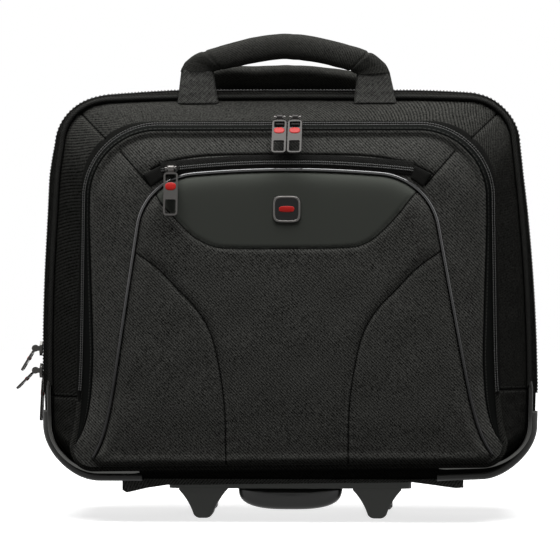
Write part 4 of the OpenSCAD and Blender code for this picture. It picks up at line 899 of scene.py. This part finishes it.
def pocket_zip():
    """Pocket zip: an arched tape with two ribbed coils along its middle, and a smooth tab over each end."""
    top, crown = POCKET[3], POCKET[8]
    # Half the chord of the zip's middle line, and its radius
    half_span, radius = 112.0, 958.1
    a = np.linspace(-1, 1, 160) * math.asin(half_span / radius)
    n = np.stack([np.sin(a), np.cos(a)], 1)
    path = crown * n + np.array([0, top - crown]), n
    tape = ((2.6, 0.4), (2.6, -0.5), (2.9, -0.8), (14.6, -0.8), (15, -0.5), (15, 0.4))
    rows = sweep(path, [(out, Y_FACE + y) for out, y in tape])
    solid("pocket_zip_tape", rows, TAPE, "flap", ["pocket_zip"])
    for tag, out in (("low", 7.15), ("high", 9.05)):
        solid(f"pocket_zip_coil_{tag}", coil(path, out, Y_FACE - 0.9, 0.95, 1.9), COIL, "flap")
    share = np.linspace(0, 1, 14)[:-1, None]
    rows = ((0.02, -112), (0.5, -112), (0.85, -111.8), (0.96, -111.5), (1, -111), (1, -110), (0.02, -109.6))
    for tag, corners in ZIP_TABS.items():
        q = np.array(corners)
        border = np.concatenate([q[k] + (q[(k + 1) % 4] - q[k]) * share for k in range(4)])
        solid(f"zip_end_tab_{tag}", stacked(border, q.mean(0), rows), FACING, "flap", flat=True)


piping()
guards()
side_zips()
organizer_zip()
pocket_zip()

# carry handles

# Handle's outer and inner edge from left to right, above its seam line
OUTER = [(-97.5, 29.5), (-96.6, 32.5), (-94, 37), (-88.8, 42), (-80, 47), (-62, 52.3), (-44, 57.4),
         (-26, 61.2), (-8, 63.2), (5, 63), (19, 61.4), (37, 57.6), (55, 52.8), (68, 48.6), (75, 45.6),
         (83, 39.5), (88.5, 33.5), (91, 27.5)]
INNER = [(-68, 29), (-67.4, 29.3), (-66.4, 29.7), (-65, 30.2), (-62, 30.9), (-54, 32.4), (-45, 34),
         (-27, 37.6), (-8, 40.2), (5, 40), (14, 39), (28, 36.6), (42, 33.2), (52, 30.4), (56, 29),
         (59, 27.8), (60.5, 26.9), (61.3, 26)]
# Webbing straps: left and right edge at the seam, left and right edge at the top, and height of the top
STRAPS = {"left": ((-100.5, -63), (-96.8, -68), 30.5), "right": ((58, 97), (61.5, 90.5), 27.5)}


def oval(half_w, half_h, power, a):
    """Rounded outline: cosine and sine of the angles, each to a power with its sign kept."""
    c, s = np.cos(a), np.sin(a)
    return np.stack([half_w * np.sign(c) * np.abs(c) ** power, half_h * np.sign(s) * np.abs(s) ** power], 1)


def placed_handle(rings, hinge, lean):
    """Turns an upright handle about its seam by a lean and sets it on the case."""
    c, s = math.cos(lean), math.sin(lean)
    y, z = rings[..., 1], rings[..., 2]
    return np.stack([rings[..., 0], y * c - z * s + hinge[1], y * s + z * c + hinge[2]], -1)


def handle(tag, hinge, lean, drop, sink):
    """Carry handle: two webbing straps, and a padded sleeve whose section grows from a flat fold to a round.

    It is lowered by drop, and its sleeve's middle sinks by a parabola."""
    outer, inner = smooth_line(OUTER, 180), smooth_line(INNER, 180)
    half_span, shoulder = 76, 62
    inner[:, 1] -= sink * np.clip(1 - (inner[:, 0] / half_span) ** 2, 0, 1)
    outer[:, 1] += 0.8 * sink * groove(outer[:, 0] + shoulder, 22)
    mid, half = (outer + inner) / 2, (outer - inner) / 2
    x = np.abs(mid[:, 0] + 2.5)
    depth = np.interp(x, [0, 55, 66, 75, 80], [7.6, 7.4, 6.6, 3.6, 2.4])
    pinch = 1 - 0.1 * groove(x - 66, 1.2)
    a = np.linspace(0, 2 * math.pi, 28, endpoint=False)
    across, through = oval(1, 1, 0.85, a).T
    soft = 1 + 0.025 * ripple(np.arange(len(mid))[:, None] * 2, a[None] * 10, 30, 2)
    rings = np.empty((len(mid), len(a), 3))
    rings[..., 0] = mid[:, None, 0] + half[:, None, 0] * across * pinch[:, None] * soft
    rings[..., 2] = mid[:, None, 1] + half[:, None, 1] * across * pinch[:, None] * soft - drop
    rings[..., 1] = (depth * pinch)[:, None] * through * soft
    rings = placed_handle(rings, hinge, lean)
    solid(f"{tag}_sleeve", rings, SLEEVE, tag, [f"{tag}_grip"])
    u = np.linspace(-1, 1, 16)
    across = np.concatenate([u, u[::-1][1:-1]])
    face = np.concatenate([np.ones(16), -np.ones(14)]) * (1 - np.abs(across) ** 8 * 0.7)
    for name, (foot, head, height) in STRAPS.items():
        top = height + 1.5 - drop
        z = np.linspace(0.2, top, 24)
        share = (z + drop) / (top + drop)
        x0, x1 = (foot[k] + (head[k] - foot[k]) * share for k in range(2))
        thick = 1.7 + 0.35 * groove(z - top + 2, 1.6) + 0.1 * np.sin(z * 0.7)
        xs = (x0 + x1)[:, None] / 2 + (x1 - x0)[:, None] / 2 * across[None]
        strap = np.stack([xs, thick[:, None] * face[None], np.broadcast_to(z[:, None], xs.shape)], -1)
        strap = placed_handle(strap, hinge, lean)
        solid(f"{tag}_tab_{name}", strap, WEBBING, tag, [f"{tag}_straps"])


handle("front_handle", (0, -73.7, 374), 0, 0, 0)
handle("rear_handle", (0, 14, 389.7), math.radians(62), 19.5, 12)

# cloth strip and grab lip under the case

# Strip: its ends, its seam as y and z, and its lower edge as x and z
STRIP_ENDS, STRIP_SEAM = (-152, 157), (-54.1, 36.4)
STRIP_EDGE = ([-152, -148, -129, -111, 111, 150, 157], [25.5, 23, 27.5, 30.2, 33.2, 28, 28.6])


def base_strip():
    """Cloth strip sewn to the underside: a hanging band whose ends droop, and curl a little by sines."""
    y, top = STRIP_SEAM
    x = np.linspace(*STRIP_ENDS, 160)[:, None]
    lower = np.interp(x, *STRIP_EDGE)
    v = np.linspace(0, 1, 9)[None]
    z = top + (lower - top) * v
    curl = 1.2 * (np.abs(x) / STRIP_ENDS[1]) ** 6 * v**2 * np.sin(x * 0.09)
    front = y - curl + 0.25 * np.sin(x * 0.21) * v
    x = np.broadcast_to(x, z.shape)
    loop = np.concatenate([np.stack([x, front, z], -1), np.stack([x, front + 1.4, z], -1)[:, ::-1]], 1)
    obj = solid("base_cloth_strip", loop, STRIP, "chassis", ["base_flap"])


def grab_lip():
    """Grab lip: half an oval of power 2.85 under the tray, domed in front, with a wall open to the rear."""
    half_w, top, deep = 47, 27.1, 19.8
    under = oval(half_w, -deep, 2 / 2.85, np.linspace(0, math.pi, 72)) + np.array([0, top])
    across = np.stack([np.linspace(-half_w, half_w, 24)[1:-1], np.full(22, top)], 1)
    rows = ((0.02, -51.4), (0.4, -51.2), (0.62, -50.5), (0.78, -49.4), (0.88, -48), (0.95, -46),
            (0.985, -43.6), (1, -40.5), (1, -30), (1, -16.6), (0.985, -16), (0.91, -16), (0.9, -16.6),
            (0.9, -40), (0.85, -45), (0.5, -47.4), (0.02, -47.6))
    rings = stacked(np.concatenate([under, across]), np.array([0, 20]), rows)
    solid("grab_lip_moulding", rings, LIP, "chassis", ["base_grip"])


base_strip()
grab_lip()

# badge and zip pulls


def low_dome(name, place, middle, half_w, half_h, low, high, power, body):
    """Low enamel dome on an oval plan, from a low to a high face along the local normal."""
    plan = oval(half_w, half_h, power, np.linspace(0, 2 * math.pi, 40, endpoint=False))
    rings = []
    for share, level in ((0.03, 0), (1, 0), (1, 0.6), (0.94, 0.85), (0.8, 0.97), (0.03, 1)):
        flat = np.array(middle) + share * plan
        rings.append(place(np.column_stack([flat, np.full(len(flat), low + (high - low) * level)])))
    solid(name, rings, ENAMEL, body)


def badge():
    """Badge: the black plate gets a plated rim and one red bar."""
    place = lambda p: np.stack([p[:, 0], Y_POCKET - p[:, 2], 278.5 + p[:, 1]], 1)
    a = np.linspace(0, 2 * math.pi, 72, endpoint=False)
    rim = []
    for w, h in ((11.9, -0.6), (12.5, 0.2), (12.3, 1.2), (11.5, 2), (10.6, 1.9), (10.2, 1.3), (10.4, -0.6)):
        rim.append(place(np.column_stack([oval(w, w * 22.5 / 23.5, 0.42, a), np.full(len(a), h)])))
    solid("badge_rim", np.array(rim).transpose(1, 0, 2), NICKEL, "flap", closed=True)
    low_dome("badge_bar", place, (0, 0), 6.8, 2.7, 1.2, 2.3, 0.55, "flap")


def leaning(angle):
    """Turn of a pull that hangs from a rod along x."""
    return Matrix.Rotation(math.radians(angle), 3, "X")


def swung(angle):
    """Turn of a pull on the left side, swung away from it."""
    return Matrix.Rotation(math.radians(angle), 3, "Y") @ Matrix.Rotation(-math.pi / 2, 3, "Z") @ leaning(90)


# Pulls: how each is turned at rest, and its length
PULLS = {
    "organizer_pull_left": (leaning(50), 44),
    "organizer_pull_right": (leaning(50), 44),
    "pocket_pull": (leaning(80), 44),
    "main_pull_upper": (swung(31), 25),
    "main_pull_lower": (swung(45), 25),
    "rear_pull": (swung(3), 44),
}
# Radius of a pull's eye and width of the bars round its windows
EYE, BAR = 3.1, 1.6


def enamels():
    """Red enamel oval on the plate of each zip pull, below its upper window, domed on both faces."""
    joints = {j["child"]: j for j in frame["record"]["behaviour"]["joints"]}
    for name, (turn, length) in PULLS.items():
        body = name + "_body"
        pivot = (np.array(joints[body]["pos_m"]) - ORIGIN) * 1000
        place = lambda p: p @ np.array(turn).T + pivot
        room = length - 2 * EYE + 1 - 2 * BAR
        half = 0.1 * room
        mid = 1 - 1.5 * EYE - BAR - 0.2 * room - half - 0.4
        for tag, high in (("front", BAR), ("back", -BAR)):
            low_dome(f"{name}_enamel_{tag}", place, (0, mid), 4.8, half, 0, high, 0.8, body)


badge()
enamels()

# finishes of the CAD nodes that show

FINISHES = {
    BASE: ["base_tray"],
    MOULD: ["wheel_brackets", "tube_foot", "handle_cup", "middle_collars", "trolley_grip"],
    RUBBER: ["front_feet"],
    TYRE: ["left_tyre", "right_tyre"],
    HUB: ["left_hub", "right_hub", "grip_button"],
    STEEL: ["wheel_axles", "axle_bushes", "base_screws"],
    TUBE: ["outer_tubes", "middle_tubes", "inner_tubes"],
    BOARD: ["lining_board"],
    BLACK: ["badge_plate"],
    GUNMETAL: ["organizer_pull_left", "organizer_pull_right", "rear_pull"],
    NICKEL: ["pocket_pull"],
    CHROME: [n for n in frame["nodes"] if "slider" in n] + ["main_pull_upper", "main_pull_lower"],
}
for finish, names in FINISHES.items():
    for name in names:
        for slot in frame["nodes"][name].material_slots:
            slot.material = finish

# stage, light and camera


def floor():
    """White floor: it looks white to the camera and in reflections, and still takes the object's shadow."""
    bpy.ops.mesh.primitive_plane_add(size=12)
    obj = bpy.context.object
    obj.name = "floor"
    m, tree, shader = material("white_floor", "#f2f2f2", 0.9, gloss=0)
    shader.inputs["Emission Color"].default_value = (1, 1, 1, 1)
    rays = node(tree, "ShaderNodeLightPath").node.outputs
    seen = maths(tree, "ADD", rays["Is Glossy Ray"], rays["Is Camera Ray"])
    tone = spread(tree, rays["Is Camera Ray"], 0, 1, 0.06, 0.6)
    place = node(tree, "ShaderNodeTexCoord").node.outputs["Object"]
    far = node(tree, "ShaderNodeVectorMath", {0: place}, operation="LENGTH").node.outputs["Value"]
    glow = maths(tree, "MULTIPLY", spread(tree, far, 0.3, 1.2, 0.75, 1), seen)
    tree.links.new(tone, shader.inputs["Base Color"])
    tree.links.new(glow, shader.inputs["Emission Strength"])
    obj.data.materials.append(m)


def studio():
    """World: white to the camera, dim otherwise, with a broad bright card on each side for reflections."""
    world = bpy.data.worlds.new("studio")
    bpy.context.scene.world = world
    world.use_nodes = True
    tree = world.node_tree
    back = tree.nodes["Background"]
    back.inputs["Color"].default_value = (1, 1, 1, 1)
    rays = node(tree, "ShaderNodeLightPath").node.outputs
    seen = maths(tree, "MAXIMUM", rays["Is Camera Ray"], rays["Is Transmission Ray"])
    aim = node(tree, "ShaderNodeTexCoord").node.outputs["Generated"]
    axes = node(tree, "ShaderNodeSeparateXYZ", {0: aim}).node.outputs
    cards = spread(tree, maths(tree, "ABSOLUTE", axes["X"]), 0.45, 0.75, 0, 2.15)
    cards = maths(tree, "MULTIPLY_ADD", cards, spread(tree, axes["Z"], 0, 0.45, 0.3, 1), 0.25)
    seen = maths(tree, "MULTIPLY_ADD", rays["Is Glossy Ray"], cards, seen)
    tree.links.new(maths(tree, "MAXIMUM", seen, 0.05), back.inputs["Strength"])


# Lamps: place, aim, width and height in metres, and watts
LAMPS = {
    "key_top": ((-0.05, -0.52, 2.05), (0, -0.05, 0.2), (2.2, 1.3), 84),
    "front_fill": ((0.1, -3.1, 1.3), (0, -0.1, 0.2), (1.6, 0.5), 3.5),
    "low_fill_left": ((-1.5, -2.5, 0.3), (0, -0.1, 0.1), (0.5, 0.4), 1.8),
    "low_fill_right": ((1.5, -2.5, 0.3), (0, -0.1, 0.1), (0.5, 0.4), 1.8),
    "rear_fill": ((0.4, 2.6, 1.4), (0, 0.05, 0.2), (1.6, 1), 14),
    "left_strip": ((-1.4, -1.3, 1), (0, -0.08, 0.25), (0.06, 1.1), 0.8),
    "right_strip": ((1.4, -1.3, 1), (0, -0.08, 0.25), (0.06, 1.1), 0.6),
}


def lamp(name, place, aim, size, watts):
    """Soft rectangular lamp turned towards its aim."""
    data = bpy.data.lights.new(name, "AREA")
    data.shape, data.size, data.size_y, data.energy = "RECTANGLE", *size, watts
    obj = bpy.data.objects.new(name, data)
    bpy.context.scene.collection.objects.link(obj)
    obj.location = place
    obj.rotation_euler = (Vector(aim) - Vector(place)).to_track_quat("-Z", "Y").to_euler()


# Camera: the point it looks at, its turn, its distance, and the width it sees there
AIM, AZIMUTH, DISTANCE, VIEW_WIDTH = np.array([-8.1, -69.7, 216]), math.radians(2.5), 2600, 504.0


def camera():
    """Level camera in front of the case."""
    eye = AIM + DISTANCE * np.array([math.sin(AZIMUTH), -math.cos(AZIMUTH), 0])
    data = bpy.data.cameras.new("camera")
    data.sensor_width = 36.0
    data.lens = data.sensor_width * DISTANCE / VIEW_WIDTH
    data.clip_end = 50.0
    obj = bpy.data.objects.new("camera", data)
    bpy.context.scene.collection.objects.link(obj)
    turn = Matrix.Rotation(AZIMUTH, 4, "Z") @ Matrix.Rotation(math.pi / 2, 4, "X")
    obj.matrix_world = Matrix.Translation(Vector(eye / 1000 + ORIGIN)) @ turn
    bpy.context.scene.camera = obj


floor()
studio()
for name, setting in LAMPS.items():
    lamp(name, *setting)
camera()
bpy.context.scene.view_settings.view_transform = "Standard"
